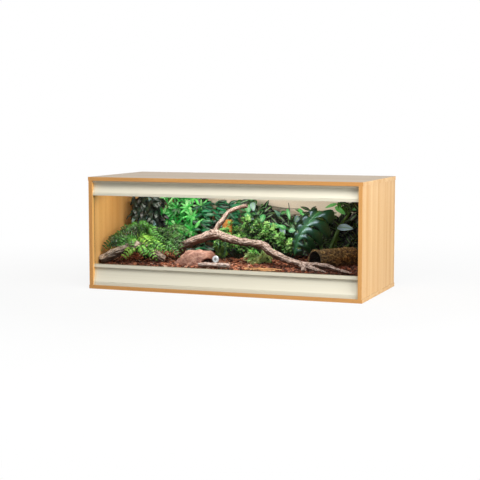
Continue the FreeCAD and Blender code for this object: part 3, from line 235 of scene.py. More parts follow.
# The two sliding doors: 4 mm float glass, cut, with ground and polished edges. Seen through its
# faces it is nearly clear; the edges show the iron green of the glass.
GLASS_IOR = 1.52
EDGE_OPACITY = 0.45
SMEAR_SIZES = (0.09, 0.09, 0.16)
material, tree, shader = new_material("float_glass_polished", 0.03, ior=GLASS_IOR)
facing = add(tree, "ShaderNodeSeparateXYZ", {}, {
    0: add(tree, "ShaderNodeNewGeometry").outputs["Normal"]}).outputs["Y"]
edge = add(tree, "ShaderNodeMath", {"operation": "LESS_THAN"}, {
    0: add(tree, "ShaderNodeMath", {"operation": "ABSOLUTE"}, {0: facing}).outputs[0],
    1: 0.7}).outputs[0]
smear = add(tree, "ShaderNodeTexNoise", {}, {
    "Vector": stretched(tree, SMEAR_SIZES), "Scale": 1.0, "Detail": 3.0}).outputs["Fac"]
sheen = add(tree, "ShaderNodeMapRange", {}, {
    "Value": add(tree, "ShaderNodeFresnel", {}, {"IOR": GLASS_IOR}).outputs[0],
    1: 0.04, 2: 1.0, 3: 0.035, 4: 0.55}).outputs[0]
clear = add(tree, "ShaderNodeMath", {"operation": "MULTIPLY_ADD"}, {
    0: smear, 1: 0.02, 2: sheen}).outputs[0]
alpha = add(tree, "ShaderNodeMix", {}, {0: edge, 2: clear, 3: EDGE_OPACITY}).outputs[0]
tint = add(tree, "ShaderNodeMix", {"data_type": "RGBA"}, {
    0: edge, 6: linear("#101614"), 7: linear("#6F9C86")}).outputs[2]
tree.links.new(alpha, shader.inputs["Alpha"])
tree.links.new(tint, shader.inputs["Base Color"])
dress(material, "left_glass_door", "right_glass_door")


# The lock in the front door: a turned zinc body with satin nickel plating on a black rubber
# washer, a ring nut behind the glass, and a steel key plug that turns in the bore.
def turned_metal(name, colour, roughness, centre, spacing):
    """Plated metal off the lathe: rings round the axis spread the highlight. They are drawn about
    1 mm apart, since the real 0.1 mm wouldn't show."""
    material, tree, shader = new_material(name, roughness, 1.0)
    shader.inputs["Base Color"].default_value = linear(colour)
    coordinates = add(tree, "ShaderNodeTexCoord").outputs["Object"]
    shifted = add(tree, "ShaderNodeMapping", {}, {
        "Vector": coordinates, "Location": tuple(-value for value in centre)}).outputs["Vector"]
    rings = add(tree, "ShaderNodeTexWave", {"wave_type": "RINGS", "rings_direction": "Y"}, {
        "Vector": shifted, "Scale": 1 / (20 * spacing), "Distortion": 0.4,
        "Detail": 1.0}).outputs["Fac"]
    worn = add(tree, "ShaderNodeMapRange", {}, {
        "Value": rings, 3: roughness - 0.06, 4: roughness + 0.10}).outputs[0]
    tree.links.new(worn, shader.inputs["Roughness"])
    bumped(tree, shader, rings, 0.00002)
    return material


low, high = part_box("lock_barrel")
lock_centre = (low + high) / 2
for name, colour, roughness, spacing, node in (
        ("satin_nickel_turned", "#F1F4F5", 0.46, 0.0011, "lock_barrel"),
        ("key_steel_turned", "#B9B8B4", 0.30, 0.0009, "lock_plug"),
        ("nickel_nut_turned", "#BDBCB6", 0.38, 0.0010, "lock_nut")):
    dress(turned_metal(name, colour, roughness, lock_centre, spacing), node)


def moulded(name, dark, light, roughness, grain, depth):
    """A plain moulded surface with an even grain, drawn near 1 mm coarse so that it shows."""
    material, tree, shader = new_material(name, roughness)
    mottled(tree, shader, [grain] * 3, ((0.3, dark), (0.7, light)), detail=2.0, relief=depth)
    return material


dress(moulded("black_rubber_moulded", "#1A1A1A", "#242424",
              roughness=0.75, grain=0.0008, depth=0.00003), "lock_washer")


# The two cable vents in the back: black ABS frames with a louvred flap on two pins. The mould is
# spark-eroded, so the surface is a fine even grain that dulls the highlight.
dress(moulded("black_abs_grained", "#151516", "#232325",
              roughness=0.52, grain=0.0011, depth=0.00005),
      "left_vent_frame", "right_vent_frame", "left_vent_flap", "right_vent_flap")


# The fittings of the flat-pack case: die-cast zinc cams and steel cam bolts, beech-coloured caps
# over the cams, fluted beech dowels and bright zinc-plated screws through the fascias.
CLOUD_SIZE = 0.002


def cast_metal(name, dark, light, roughness):
    """Bare cast or plated metal with a slightly cloudy skin."""
    material, tree, shader = new_material(name, roughness, 1.0)
    mottled(tree, shader, [CLOUD_SIZE] * 3, ((0.3, dark), (0.7, light)), detail=3.0,
            relief=0.00003)
    return material


dress(cast_metal("zinc_die_cast", "#8E9194", "#A9ACAE", roughness=0.48), "cam_locks")
dress(cast_metal("zinc_plated_steel", "#B4B6B8", "#D2D3D2", roughness=0.32),
      "cam_bolts", "fascia_screws")
dress(moulded("beech_cap_moulded", "#D8A268", "#DFAE76",
              roughness=0.45, grain=0.0012, depth=0.00003), "cam_covers")
dress(beech_laminate("beech_dowel_milled", 2, "#E5C392", "#CFA06A"), "wooden_dowels")


# The substrate: a bed of composted bark, about 80 mm deep in front and 108 mm at the back, raked
# to an even slope. It is poured in and lies loose against the walls. Its damp crumbs are dark and
# throw no shine.
BED_HALF = 0.5565
BED_FRONT, BED_BACK = -0.2085, 0.2328
BED_FLOOR = 0.0152
BED_STEP = 0.005            # spacing of the bed's points
SLOPE_START, SLOPE_RUN = -0.210, 0.4443
SLOPE_FOOT, SLOPE_RISE = 0.095, 0.028
CRUMB_SIZE, CLOD_SIZE = 0.006, 0.017
CLOD_SINK, CLOD_RELIEF = 0.0025, 0.0022


def ground(back):
    """The height of the bark's surface over a line that runs across the case."""
    return SLOPE_FOOT + SLOPE_RISE * (back - SLOPE_START) / SLOPE_RUN


def net(rows, columns, first=0, ring=False):
    """The faces between points that stand in rows; a ring's rows close on themselves."""
    faces = []
    for row in range(rows - 1):
        for column in range(columns if ring else columns - 1):
            here = first + row * columns + column
            after = first + row * columns + (column + 1) % columns
            faces.append((here, after, after + columns, here + columns))
    return faces


def new_piece(name, points, faces, material, slot, *replaced, marks=None, smooth=True):
    """A piece of the case from its points and faces; marks colour its points, leaf by leaf."""
    mesh = bpy.data.meshes.new(name)
    mesh.from_pydata([tuple(point) for point in points], [], faces)
    if marks is not None:
        layer = mesh.color_attributes.new("marks", "FLOAT_COLOR", "POINT")
        layer.data.foreach_set("color", np.asarray(marks, np.float32).ravel())
    mesh.polygons.foreach_set("use_smooth", [smooth] * len(mesh.polygons))
    mesh.materials.append(material)
    made = bpy.data.objects.new(name, mesh)
    bpy.context.scene.collection.objects.link(made)
    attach(made, "vivarium_case")
    if replaced:
        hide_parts(*replaced)
    return made


def marked(tree):
    """The three marks of a point, as separate values."""
    layer = add(tree, "ShaderNodeAttribute", {"attribute_name": "marks"}).outputs["Color"]
    return add(tree, "ShaderNodeSeparateColor", {}, {"Color": layer}).outputs


material, tree, shader = new_material("composted_bark_damp", 0.85)
mottled(tree, shader, [CRUMB_SIZE] * 3, ((0.34, "#190B07"), (0.52, "#4C281C"), (0.68, "#84492F")),
        detail=5.0, relief=0.003, roughness=0.65)

columns = round(2 * BED_HALF / BED_STEP) + 1
rows = round((BED_BACK - BED_FRONT) / BED_STEP) + 1
bed_points = []
for row in range(rows):
    back = BED_FRONT + (BED_BACK - BED_FRONT) * row / (rows - 1)
    for column in range(columns):
        across = -BED_HALF + 2 * BED_HALF * column / (columns - 1)
        clod = noise.noise(Vector((across, back, 0)) / CLOD_SIZE) + 0.6 * noise.noise(
            Vector((across, back, 1)) / (0.4 * CLOD_SIZE))
        bed_points.append((across, back, ground(back) - CLOD_SINK + CLOD_RELIEF * clod))
bed_faces = net(rows, columns)
rim = ([(0, column) for column in range(columns)] + [(row, columns - 1) for row in range(1, rows)]
       + [(rows - 1, column) for column in range(columns - 2, -1, -1)]
       + [(row, 0) for row in range(rows - 2, 0, -1)])
rim_tops = [row * columns + column for row, column in rim]
rim_feet = list(range(len(bed_points), len(bed_points) + len(rim)))
bed_points += [(bed_points[top][0], bed_points[top][1], BED_FLOOR) for top in rim_tops]
for place in range(len(rim)):
    after = (place + 1) % len(rim)
    bed_faces.append((rim_feet[place], rim_feet[after], rim_tops[after], rim_tops[place]))
bed_faces.append(tuple(reversed(rim_feet)))
new_piece("bark_bed", bed_points, bed_faces, material, "bark_chips", "substrate")


# The chips that lie on the bed: split pine bark, 8 to 26 mm long, tipped out and spread by hand.
# Dry faces are pinkish brown and the damp ones nearly black. The chips are painted lighter at the
# left and darker towards the right, a painted light and shade.
CHIP_COUNT = 7600
CHIP_LENGTHS, CHIP_DEPTHS = (0.008, 0.026), (0.0018, 0.0045)
CHIP_WIDTHS = (0.35, 0.65)      # shares of the length
CHIP_LIFTS = (-0.002, 0.0045)   # how far a chip's middle lies over the bed's mean surface
PLY_SIZES = (0.0035, 0.0035, 0.0018)
SHADE_START, SHADE_RUN = 0.06, 0.32
PAINTED_LIGHT_GAIN, PAINTED_SHADE_LOSS = 1.16, 0.60
material, tree, shader = new_material("pine_bark_split", 0.72)
tint = marked(tree)
plies = add(tree, "ShaderNodeTexNoise", {}, {
    "Vector": stretched(tree, PLY_SIZES), "Scale": 1.0, "Detail": 4.0,
    "Roughness": 0.6}).outputs["Fac"]
chip_ramp = add(tree, "ShaderNodeValToRGB", {"stops": (
    (0.00, linear("#23110B")), (0.28, linear("#66392A")), (0.54, linear("#A35D40")),
    (0.82, linear("#CC8560")), (1.00, linear("#E9CBB4")))}, {"Fac": tint["Red"]}).outputs["Color"]
ply_shade = add(tree, "ShaderNodeMapRange", {}, {
    "Value": plies, 1: 0.3, 2: 0.7, 3: 0.55, 4: 1.25}).outputs[0]
chip_colour = add(tree, "ShaderNodeMix", {"data_type": "RGBA", "blend_type": "MULTIPLY"}, {
    0: 1.0, 6: chip_ramp, 7: ply_shade}).outputs[2]
tree.links.new(chip_colour, shader.inputs["Base Color"])
bumped(tree, shader, plies, 0.0015)

luck = np.random.default_rng(11)
length = luck.uniform(*CHIP_LENGTHS, CHIP_COUNT) * luck.uniform(0.7, 1.0, CHIP_COUNT)
width = length * luck.uniform(*CHIP_WIDTHS, CHIP_COUNT)
thick = luck.uniform(*CHIP_DEPTHS, CHIP_COUNT)
box_corners = np.array([
    (x, y, z) for z in (-1, 1) for x, y in ((-1, -1), (1, -1), (1, 1), (-1, 1))], float)
chips = box_corners[None] * np.stack([length, width, thick], 1)[:, None] / 2
chips *= luck.uniform(0.55, 1.1, chips.shape)
turn, tilt, roll = (luck.uniform(-reach, reach, CHIP_COUNT) for reach in (math.pi, 0.5, 0.6))


def turned(points, angles, first, second):
    """Turn every chip's points in the plane of two axes."""
    cosines, sines = np.cos(angles)[:, None], np.sin(angles)[:, None]
    one, two = points[..., first].copy(), points[..., second].copy()
    points[..., first] = one * cosines - two * sines
    points[..., second] = one * sines + two * cosines


turned(chips, roll, 1, 2)
turned(chips, tilt, 0, 2)
turned(chips, turn, 0, 1)
chip_x = luck.uniform(-BED_HALF + 0.015, BED_HALF - 0.015, CHIP_COUNT)
chip_y = luck.uniform(BED_FRONT + 0.012, BED_BACK - 0.014, CHIP_COUNT)
chip_z = ground(chip_y) + luck.uniform(*CHIP_LIFTS, CHIP_COUNT)
chips += np.stack([chip_x, chip_y, chip_z], 1)[:, None]
box_faces = ((3, 2, 1, 0), (4, 5, 6, 7), (0, 1, 5, 4), (1, 2, 6, 5), (2, 3, 7, 6), (3, 0, 4, 7))
chip_faces = [tuple(8 * chip + point for point in face)
              for chip in range(CHIP_COUNT) for face in box_faces]
# This value is a painted shade that darkens the chips towards the right; the left ones get a
# painted light.
damp = np.clip((chip_x - SHADE_START) / SHADE_RUN, 0.0, 1.0)
tints = np.minimum(luck.beta(1.7, 2.2, CHIP_COUNT) * (PAINTED_LIGHT_GAIN - PAINTED_SHADE_LOSS * damp), 1.0)
tints = np.repeat(tints, 8)
chip_marks = np.stack([tints, tints, tints, np.ones_like(tints)], 1)
new_piece("bark_chips", chips.reshape(-1, 3), chip_faces, material, "bark_chips", "substrate",
          marks=chip_marks, smooth=False)


# The branch: one forked piece of sandblasted grapevine, dry and pale, and painted browner on its
# underside, a painted shade. It stands on its cut left end and on two twigs at the right. Lengths
# are in millimetres.
TRUNK_RUN = (
    (-262, -41, 106, 11.0), (-254, -47, 136, 14.0), (-240, -53, 168, 19.5), (-172, -54, 198, 20.0),
    (-112, -54, 218, 20.5), (-85, -57, 219, 20.0), (-40, -66, 207, 17.5), (22, -77, 196, 16.5),
    (70, -82, 193, 16.0), (117, -86, 186, 17.0), (140, -90, 173, 17.0), (162, -94, 158, 16.5),
    (229, -112, 135, 14.5), (265, -120, 126, 14.0), (301, -126, 121, 13.5),
)
FORK_RUN = (
    (-100, -54, 222, 15.0), (-94, -52, 245, 11.5), (-78, -46, 268, 10.5), (-66, -38, 290, 10.0),
    (-50, -30, 312, 9.6), (-17, -15, 328, 9.0), (8, 3, 336, 7.8), (18, 9, 334, 5.2),
)
LONG_TWIG_RUN = (
    (285, -123, 122, 12.0), (330, -132, 121, 11.5), (370, -140, 124, 10.2), (407, -148, 121, 9.4),
    (440, -160, 114, 8.6), (469, -174, 109, 7.8), (515, -187, 102, 5.6),
)
SHORT_TWIG_RUN = (
    (290, -125, 119, 11.0), (308, -146, 114, 10.0), (318, -170, 106, 9.0), (323, -185, 103, 7.5),
)
LOW_TWIG_RUN = (
    (312, -130, 116, 10.0), (350, -152, 109, 9.0), (392, -176, 104, 7.0), (412, -184, 101, 5.0),
)
KNOT_RUN = ((-112, -58, 226, 13.0), (-114, -64, 236, 8.0), (-115, -67, 241, 4.0))
RUN_STEP = 0.004
GRAIN_LENGTH, GROOVE_WIDTH = 0.045, 0.0042
KNOB_SPACING = 0.026
WORN_SPOT_SIZES = (0.008, 0.008, 0.006)
LIMB_SIDES = 12


def smooth_run(run):
    """Places and radii every few millimetres on a smooth line through the given ones, in metres."""
    given = np.array(run, float) / 1000
    padded = np.vstack([2 * given[0] - given[1], given, 2 * given[-1] - given[-2]])
    line = []
    for before, start, end, after in zip(padded, padded[1:], padded[2:], padded[3:]):
        steps = max(2, math.ceil(np.linalg.norm(end[:3] - start[:3]) / RUN_STEP))
        for share in np.arange(steps) / steps:
            line.append(0.5 * (2 * start + (end - before) * share
                               + (2 * before - 5 * start + 4 * end - after) * share ** 2
                               + (3 * start - before - 3 * end + after) * share ** 3))
    return np.array(line + [given[-1]])


def tube(line, sides, points, faces):
    """Add a closed tube round a line of places and radii."""
    runs = np.gradient(line[:, :3], axis=0)
    runs /= np.linalg.norm(runs, axis=1)[:, None]
    across = np.cross(runs[0], (0.3, 0.2, 1.0) if abs(runs[0][2]) < 0.8 else (1.0, 0.2, 0.1))
    first = len(points)
    for place, run in zip(line, runs):
        across = across - run * (across @ run)
        across /= np.linalg.norm(across)
        other = np.cross(run, across)
        for side in range(sides):
            angle = 2 * math.pi * side / sides
            points.append(place[:3] + place[3] * (
                across * math.cos(angle) + other * math.sin(angle)))
    faces += net(len(line), sides, first, ring=True)
    faces.append(tuple(first + side for side in reversed(range(sides))))
    faces.append(tuple(len(points) - sides + side for side in range(sides)))


def grown_together(made, voxel):
    """Turn a piece made of overlapping closed forms into one even skin."""
    skin = made.modifiers.new("skin", "REMESH")
    skin.mode, skin.voxel_size, skin.use_smooth_shade = "VOXEL", voxel, True
    settle(made)


def settle(made):
    """Turn a piece's modifiers into its mesh."""
    bpy.context.view_layer.update()
    settled = made.evaluated_get(bpy.context.evaluated_depsgraph_get())
    shaped = bpy.data.meshes.new_from_object(settled)
    made.modifiers.clear()
    old = made.data
    made.data = shaped
    bpy.data.meshes.remove(old)


def weathered(made, lines, knobs, grooves):
    """Give a limb's skin its knobs and its grooves along the grain, and mark how deep they lie."""
    mesh = made.data
    count = len(mesh.vertices)
    places, normals = np.zeros(3 * count), np.zeros(3 * count)
    mesh.vertices.foreach_get("co", places)
    mesh.vertex_normals.foreach_get("vector", normals)
    places, normals = places.reshape(-1, 3), normals.reshape(-1, 3)
    bones = np.vstack([line[:-1, :3] for line in lines])
    steps = [np.diff(line[:, :3], axis=0) for line in lines]
    lengths = np.concatenate([np.cumsum(np.linalg.norm(step, axis=1)) for step in steps])
    runs = np.vstack(steps)
    runs /= np.linalg.norm(runs, axis=1)[:, None]
    nearest = np.concatenate([
        np.argmin(((chunk[:, None] - bones[None]) ** 2).sum(2), axis=1)
        for chunk in np.array_split(places, 40)])
    away = places - bones[nearest]
    along = (away * runs[nearest]).sum(1)
    away -= along[:, None] * runs[nearest]
    along += lengths[nearest]
    marks = np.ones((count, 4), np.float32)
    for number in range(count):
        grain = (Vector(away[number]) / GROOVE_WIDTH
                 + Vector(runs[nearest[number]]) * (along[number] / GRAIN_LENGTH))
        groove = 1 - 2 * abs(noise.noise(grain)) - 0.5 * abs(noise.noise(grain * 2.3))
        knob = noise.noise(Vector(places[number]) / KNOB_SPACING)
        places[number] += normals[number] * (knobs * knob - grooves * max(groove - 0.35, 0))
        marks[number, 0] = groove
    mesh.vertices.foreach_set("co", places.ravel())
    layer = mesh.color_attributes.new("marks", "FLOAT_COLOR", "POINT")
    layer.data.foreach_set("color", marks.ravel())
    mesh.polygons.foreach_set("use_smooth", [True] * len(mesh.polygons))
    mesh.update()


def weathered_and_shaded_wood(name, pale, worn, painted_underside_shade, groove_colour):
    """Dry wood skin: pale on top and brown below, a painted shade; dark in the grooves, quite matt.
    """
    material, tree, shader = new_material(name, 0.78)
    skin = mottled(tree, shader, WORN_SPOT_SIZES, ((0.42, worn), (0.56, pale)),
                   detail=4.0, relief=0.0012, roughness=0.6)[1]
    # Faces that look down take the underside colour, a painted shade.
    up = add(tree, "ShaderNodeSeparateXYZ", {}, {
        0: add(tree, "ShaderNodeNewGeometry").outputs["Normal"]}).outputs["Z"]
    below = add(tree, "ShaderNodeMapRange", {"interpolation_type": "SMOOTHSTEP"}, {
        "Value": up, 1: -0.25, 2: 0.35, 3: 0.0, 4: 1.0}).outputs[0]
    sides = add(tree, "ShaderNodeMix", {"data_type": "RGBA"}, {
        0: below, 6: linear(painted_underside_shade), 7: skin}).outputs[2]
    deep = add(tree, "ShaderNodeMapRange", {}, {
        "Value": marked(tree)["Red"], 1: 0.42, 2: 0.85, 3: 0.0, 4: 0.85}).outputs[0]
    colour = add(tree, "ShaderNodeMix", {"data_type": "RGBA"}, {
        0: deep, 6: sides, 7: linear(groove_colour)}).outputs[2]
    tree.links.new(colour, shader.inputs["Base Color"])
    return material


def limbs(name, material, slot, node, runs, voxel, knobs, grooves):
    """A branch made of several runs grown into one."""
    points, faces = [], []
    lines = [smooth_run(run) for run in runs]
    for line in lines:
        tube(line, LIMB_SIDES, points, faces)
    made = new_piece(name, points, faces, material, slot, node)
    grown_together(made, voxel)
    weathered(made, lines, knobs, grooves)


vine = weathered_and_shaded_wood("grapevine_sandblasted", "#C9B7AE", "#8A7063", "#5F4030", "#33221A")
limbs("vine_branch", vine, "pale_branch", "main_branch",
      (TRUNK_RUN, FORK_RUN, LONG_TWIG_RUN, SHORT_TWIG_RUN, LOW_TWIG_RUN, KNOT_RUN),
      voxel=0.0019, knobs=0.0034, grooves=0.0030)


# The small log at the front: a straight length of the same wood, half sunk among the chips. The
# sun has bleached it nearly white.
FRONT_LOG_RUN = (
    (-119, -187, 108, 10.4), (-84, -186, 109, 11.6), (-48, -185, 110, 11.0),
    (-20, -185, 109, 11.8), (14, -184, 108, 10.6),
)
bleached = weathered_and_shaded_wood("grapevine_bleached", "#EEE0DA", "#C4A89C", "#8E6C5A", "#46302A")
limbs("vine_log", bleached, "pale_branch", "front_log", (FRONT_LOG_RUN,),
      voxel=0.0018, knobs=0.0018, grooves=0.0020)


# The log at the left: a length of rough bark-covered branch that arches from the left wall down to
# the middle, with thick grey plates of bark and dark cracks between them.
LEFT_LOG_RUN = (
    (-552, -186, 112, 20.5), (-500, -178, 138, 21.5), (-450, -167, 160, 22.0),
    (-415, -158, 170, 22.5), (-372, -144, 158, 21.0), (-330, -130, 134, 19.5),
    (-300, -119, 114, 17.0),
)
rough_bark = weathered_and_shaded_wood("oak_bark_rough", "#DCCDBC", "#A6927E", "#5F4A3A", "#2A1C14")
limbs("bark_log", rough_bark, "bark_log", "left_log", (LEFT_LOG_RUN,),
      voxel=0.0021, knobs=0.0040, grooves=0.0045)


# The flat bark in front: one curved flake of cork bark, split off by hand and laid on the chips.
# Its inner face is up: ochre, with long fibres that catch the light.
FLAKE_MIDDLE = (0.151, -0.177)
FLAKE_HALVES = (0.080, 0.025)
FLAKE_HUMP, FLAKE_THICKNESS = 0.011, 0.004
FLAKE_ROWS, FLAKE_COLUMNS = 13, 41
FIBRE_SIZES = (0.05, 0.004, 0.004)
SEAT = 0.0004               # how far above the bed's mean surface such a piece rests
material, tree, shader = new_material("cork_bark_inner_face", 0.70)
mottled(tree, shader, FIBRE_SIZES, ((0.34, "#50301A"), (0.47, "#A4713F"), (0.64, "#CCA26E")),
        detail=4.0, relief=0.0012)
flake_points, flake_faces = [], []
for layer in (0, 1):
    for row in range(FLAKE_ROWS):
        for column in range(FLAKE_COLUMNS):
            u, v = 2 * column / (FLAKE_COLUMNS - 1) - 1, 2 * row / (FLAKE_ROWS - 1) - 1
            wavy = 0.86 + 0.14 * noise.noise(Vector((u * 5, v, layer)))
            half = math.sqrt(max(1 - u * u, 0)) * wavy
            across = FLAKE_MIDDLE[0] + u * FLAKE_HALVES[0]
            back = FLAKE_MIDDLE[1] + v * half * FLAKE_HALVES[1]
            hump = FLAKE_HUMP * (1 - 0.8 * v * v) * (0.55 + 0.45 * half)
            rough = 0.0014 * noise.noise(Vector((across / 0.02, back / 0.006, layer)))
            top = hump + rough
            height = ground(back) + (top if layer else max(top - FLAKE_THICKNESS, SEAT))
            flake_points.append((across, back, height))
upper, right, rear = FLAKE_ROWS * FLAKE_COLUMNS, FLAKE_COLUMNS - 1, FLAKE_ROWS - 1
for face in net(FLAKE_ROWS, FLAKE_COLUMNS):
    flake_faces += [tuple(reversed(face)), tuple(upper + point for point in face)]
for start, step, count in ((0, 1, right), (right, FLAKE_COLUMNS, rear), (upper - 1, -1, right),
                           (upper - FLAKE_COLUMNS, -FLAKE_COLUMNS, rear)):
    for number in range(count):
        here, after = start + step * number, start + step * (number + 1)
        flake_faces.append((here, after, upper + after, upper + here))
new_piece("bark_flake", flake_points, flake_faces, material, "yellow_bark", "bark_slab")


# The rock hide: a cast resin shell that copies a lump of pink sandstone, with a cave under it and
# a low mouth in front. It is cast in one piece and painted in thin washes that leave it quite matt.
# Its flat top is painted darker and its sides lighter, a painted shade and light, and it is darker
# and browner towards its right end.
ROCK_MIDDLE = (-0.1455, -0.1135)
ROCK_HALVES = (0.127, 0.0545)
ROCK_TOP = 0.060
ROCK_SLOPES = 0.62, 0.66    # shares of its half length that its left and right ends rise over
LUMP_SIZE, PIT_SIZE = 0.030, 0.011
GRIT_SIZES = (0.012, 0.012, 0.008)
DARKER_START, DARKER_END = -0.105, -0.082   # along X, where the darkening begins and where it is full
ROCK_RINGS, ROCK_SPOKES = 34, 96
material, tree, shader = new_material("painted_resin_stone", 0.82)
wash = mottled(tree, shader, GRIT_SIZES, (
    (0.30, "#7A5046"), (0.46, "#AC7F70"), (0.60, "#C79C8B"), (0.75, "#DFBFB0")),
    detail=6.0, relief=0.0022, roughness=0.62)[1]
place = add(tree, "ShaderNodeSeparateXYZ", {}, {
    0: add(tree, "ShaderNodeTexCoord").outputs["Object"]}).outputs["X"]
facing = add(tree, "ShaderNodeSeparateXYZ", {}, {
    0: add(tree, "ShaderNodeNewGeometry").outputs["Normal"]}).outputs["Z"]
# Faces that look up are painted darker and the sides lighter: a painted shade and light.
painted_facing_light = add(tree, "ShaderNodeMapRange", {}, {
    "Value": facing, 1: 0.5, 2: 0.95, 3: 1.12, 4: 0.80}).outputs[0]
# The rock turns darker and browner towards its right end.
darker_right = add(tree, "ShaderNodeMapRange", {}, {
    "Value": place, 1: DARKER_START, 2: DARKER_END}).outputs[0]
facing_lit_wash = add(tree, "ShaderNodeMix", {"data_type": "RGBA", "blend_type": "MULTIPLY"}, {
    0: 1.0, 6: wash, 7: painted_facing_light}).outputs[2]
washed = add(tree, "ShaderNodeMix", {"data_type": "RGBA", "blend_type": "MULTIPLY"}, {
    0: darker_right, 6: facing_lit_wash, 7: linear("#A88C78")}).outputs[2]
tree.links.new(washed, shader.inputs["Base Color"])
rock_points = []
for ring in range(ROCK_RINGS + 1):
    for spoke in range(ROCK_SPOKES):
        angle = 2 * math.pi * spoke / ROCK_SPOKES
        share = ring / ROCK_RINGS
        u, v = share * math.cos(angle), share * math.sin(angle)
        rim_place = Vector((2.2 * math.cos(angle), 2.2 * math.sin(angle), 3))
        jag = 1 - 0.07 * (1 + noise.noise(rim_place))
        across = ROCK_MIDDLE[0] + u * jag * ROCK_HALVES[0]
        back = ROCK_MIDDLE[1] + v * jag * ROCK_HALVES[1]
        rise = min((u + 1.0) / ROCK_SLOPES[0], (1.02 - u) / ROCK_SLOPES[1], 1)
        dome = rise * (1 - share ** 7) ** 0.6 * (1 - 0.22 * v)
        lumps = (noise.noise(Vector((across, back, 0)) / LUMP_SIZE)
                 + 0.5 * noise.noise(Vector((across, back, 2)) / PIT_SIZE))
        height = max(ROCK_TOP * dome * (0.93 + 0.10 * lumps), 0.0)
        rock_points.append((across, back, ground(back) + SEAT + height))
rock_faces = [(face[0], *reversed(face[1:]))
              for face in net(ROCK_RINGS + 1, ROCK_SPOKES, ring=True)]
rock_faces.append(tuple(ROCK_RINGS * ROCK_SPOKES + spoke for spoke in reversed(range(ROCK_SPOKES))))
rock = new_piece("stone_hide", rock_points, rock_faces, material, "resin_rock", "rock_hide")
grown_together(rock, voxel=0.0022)


def hollowed(made, cutters):
    """Cut closed forms out of a piece; each is a middle and three half sizes, in metres."""
    for middle, halves in cutters:
        tool = bpy.data.meshes.new("cutter")
        form = bmesh.new()
        bmesh.ops.create_icosphere(form, subdivisions=4, radius=1.0, matrix=Matrix.LocRotScale(
            Vector(middle), None, Vector(halves)))
        form.to_mesh(tool)
        form.free()
        cutter = bpy.data.objects.new("cutter", tool)
        bpy.context.scene.collection.objects.link(cutter)
        cut = made.modifiers.new("hollow", "BOOLEAN")
        cut.operation, cut.solver, cut.object = "DIFFERENCE", "EXACT", cutter
        settle(made)
        bpy.data.objects.remove(cutter)
        bpy.data.meshes.remove(tool)


hollowed(rock, (
    ((-0.140, -0.112, 0.098), (0.098, 0.040, 0.042)),
    ((-0.092, -0.158, 0.104), (0.030, 0.046, 0.030)),
    ((-0.066, -0.160, 0.112), (0.020, 0.040, 0.026)),
))
rock.data.polygons.foreach_set("use_smooth", [True] * len(rock.data.polygons))


# The cork hide: a half round of natural cork bark, open at both ends. The bark was stripped from
# the tree in one piece; it is deeply furrowed outside and smooth inside, where it is painted nearly
# black, a painted shade.
CORK_START = np.array([0.340, -0.099, 0.134])
CORK_RUN = np.array([0.5736, 0.8192, 0.0])
CORK_ACROSS = np.array([-0.8192, 0.5736, 0.0])
CORK_LENGTH, CORK_RADIUS, CORK_WALL = 0.195, 0.046, 0.009
CORK_STEPS, CORK_SIDES = 60, 72
FURROW_DEPTH, INNER_ROUGHNESS = 0.0048, 0.0008
RAGGED_REACH, RAGGED_SHARE = 0.006, 1 / 6
CRUST_SIZES = (0.010, 0.010, 0.007)
material, tree, shader = new_material("virgin_cork_bark", 0.85)
tint = marked(tree)
crust, outside = mottled(tree, shader, CRUST_SIZES, (
    (0.34, "#1E150C"), (0.50, "#72582F"), (0.64, "#C6AA6E")),
    detail=5.0, relief=0.002, roughness=0.65)
# The inner face is painted nearly black: a painted shade in the hollow.
painted_inner_shade = add(tree, "ShaderNodeValToRGB", {
    "stops": ((0.3, linear("#140C07")), (0.7, linear("#2E1B10")))}, {"Fac": crust}).outputs["Color"]
cork_colour = add(tree, "ShaderNodeMix", {"data_type": "RGBA"}, {
    0: tint["Green"], 6: outside, 7: painted_inner_shade}).outputs[2]
furrow_shade = add(tree, "ShaderNodeMapRange", {}, {
    "Value": tint["Red"], 3: 0.25, 4: 1.15}).outputs[0]
shaded = add(tree, "ShaderNodeMix", {"data_type": "RGBA", "blend_type": "MULTIPLY"}, {
    0: 1.0, 6: cork_colour, 7: furrow_shade}).outputs[2]
tree.links.new(shaded, shader.inputs["Base Color"])
cork_points, cork_faces, cork_marks = [], [], []
for skin, radius in enumerate((CORK_RADIUS, CORK_RADIUS - CORK_WALL)):
    for step in range(CORK_STEPS + 1):
        for side in range(CORK_SIDES):
            angle = 2 * math.pi * side / CORK_SIDES
            furrow = 0.5 + 0.5 * noise.noise(Vector((angle * 4.5 + step * 0.045, step * 0.09, 4)))
            furrow = min(max(1.6 * abs(furrow - 0.5) * 2, 0), 1)
            ragged = RAGGED_REACH * noise.noise(Vector((
                math.cos(angle) * 1.7, math.sin(angle) * 1.7, 8 + skin + step // 30)))
            share = step / CORK_STEPS
            to_end = min(share, 1 - share)
            run = share * CORK_LENGTH + ragged * (1 - to_end * 6 if to_end < RAGGED_SHARE else 0)
            depth = radius - (INNER_ROUGHNESS * furrow if skin else FURROW_DEPTH * (1 - furrow))
            place = (CORK_START + CORK_RUN * max(min(run, CORK_LENGTH), 0)
                     + CORK_ACROSS * (depth * math.cos(angle))
                     + np.array([0, 0, depth * math.sin(angle)]))
            place[2] = max(place[2], ground(place[1]) + SEAT)
            cork_points.append(place)
            cork_marks.append((0.8 if skin else furrow, skin, 0, 1))
inner = (CORK_STEPS + 1) * CORK_SIDES
for here, after, beyond, above in net(CORK_STEPS + 1, CORK_SIDES, ring=True):
    cork_faces.append((here, above, beyond, after))
    cork_faces.append(tuple(inner + point for point in (here, after, beyond, above)))
for step in (0, CORK_STEPS):
    for side in range(CORK_SIDES):
        here, after = step * CORK_SIDES + side, step * CORK_SIDES + (side + 1) % CORK_SIDES
        face = (here, after, inner + after, inner + here)
        cork_faces.append(tuple(reversed(face)) if step else face)
new_piece("cork_half_round", cork_points, cork_faces, material, "cork_bark", "cork_hide",
          marks=cork_marks)


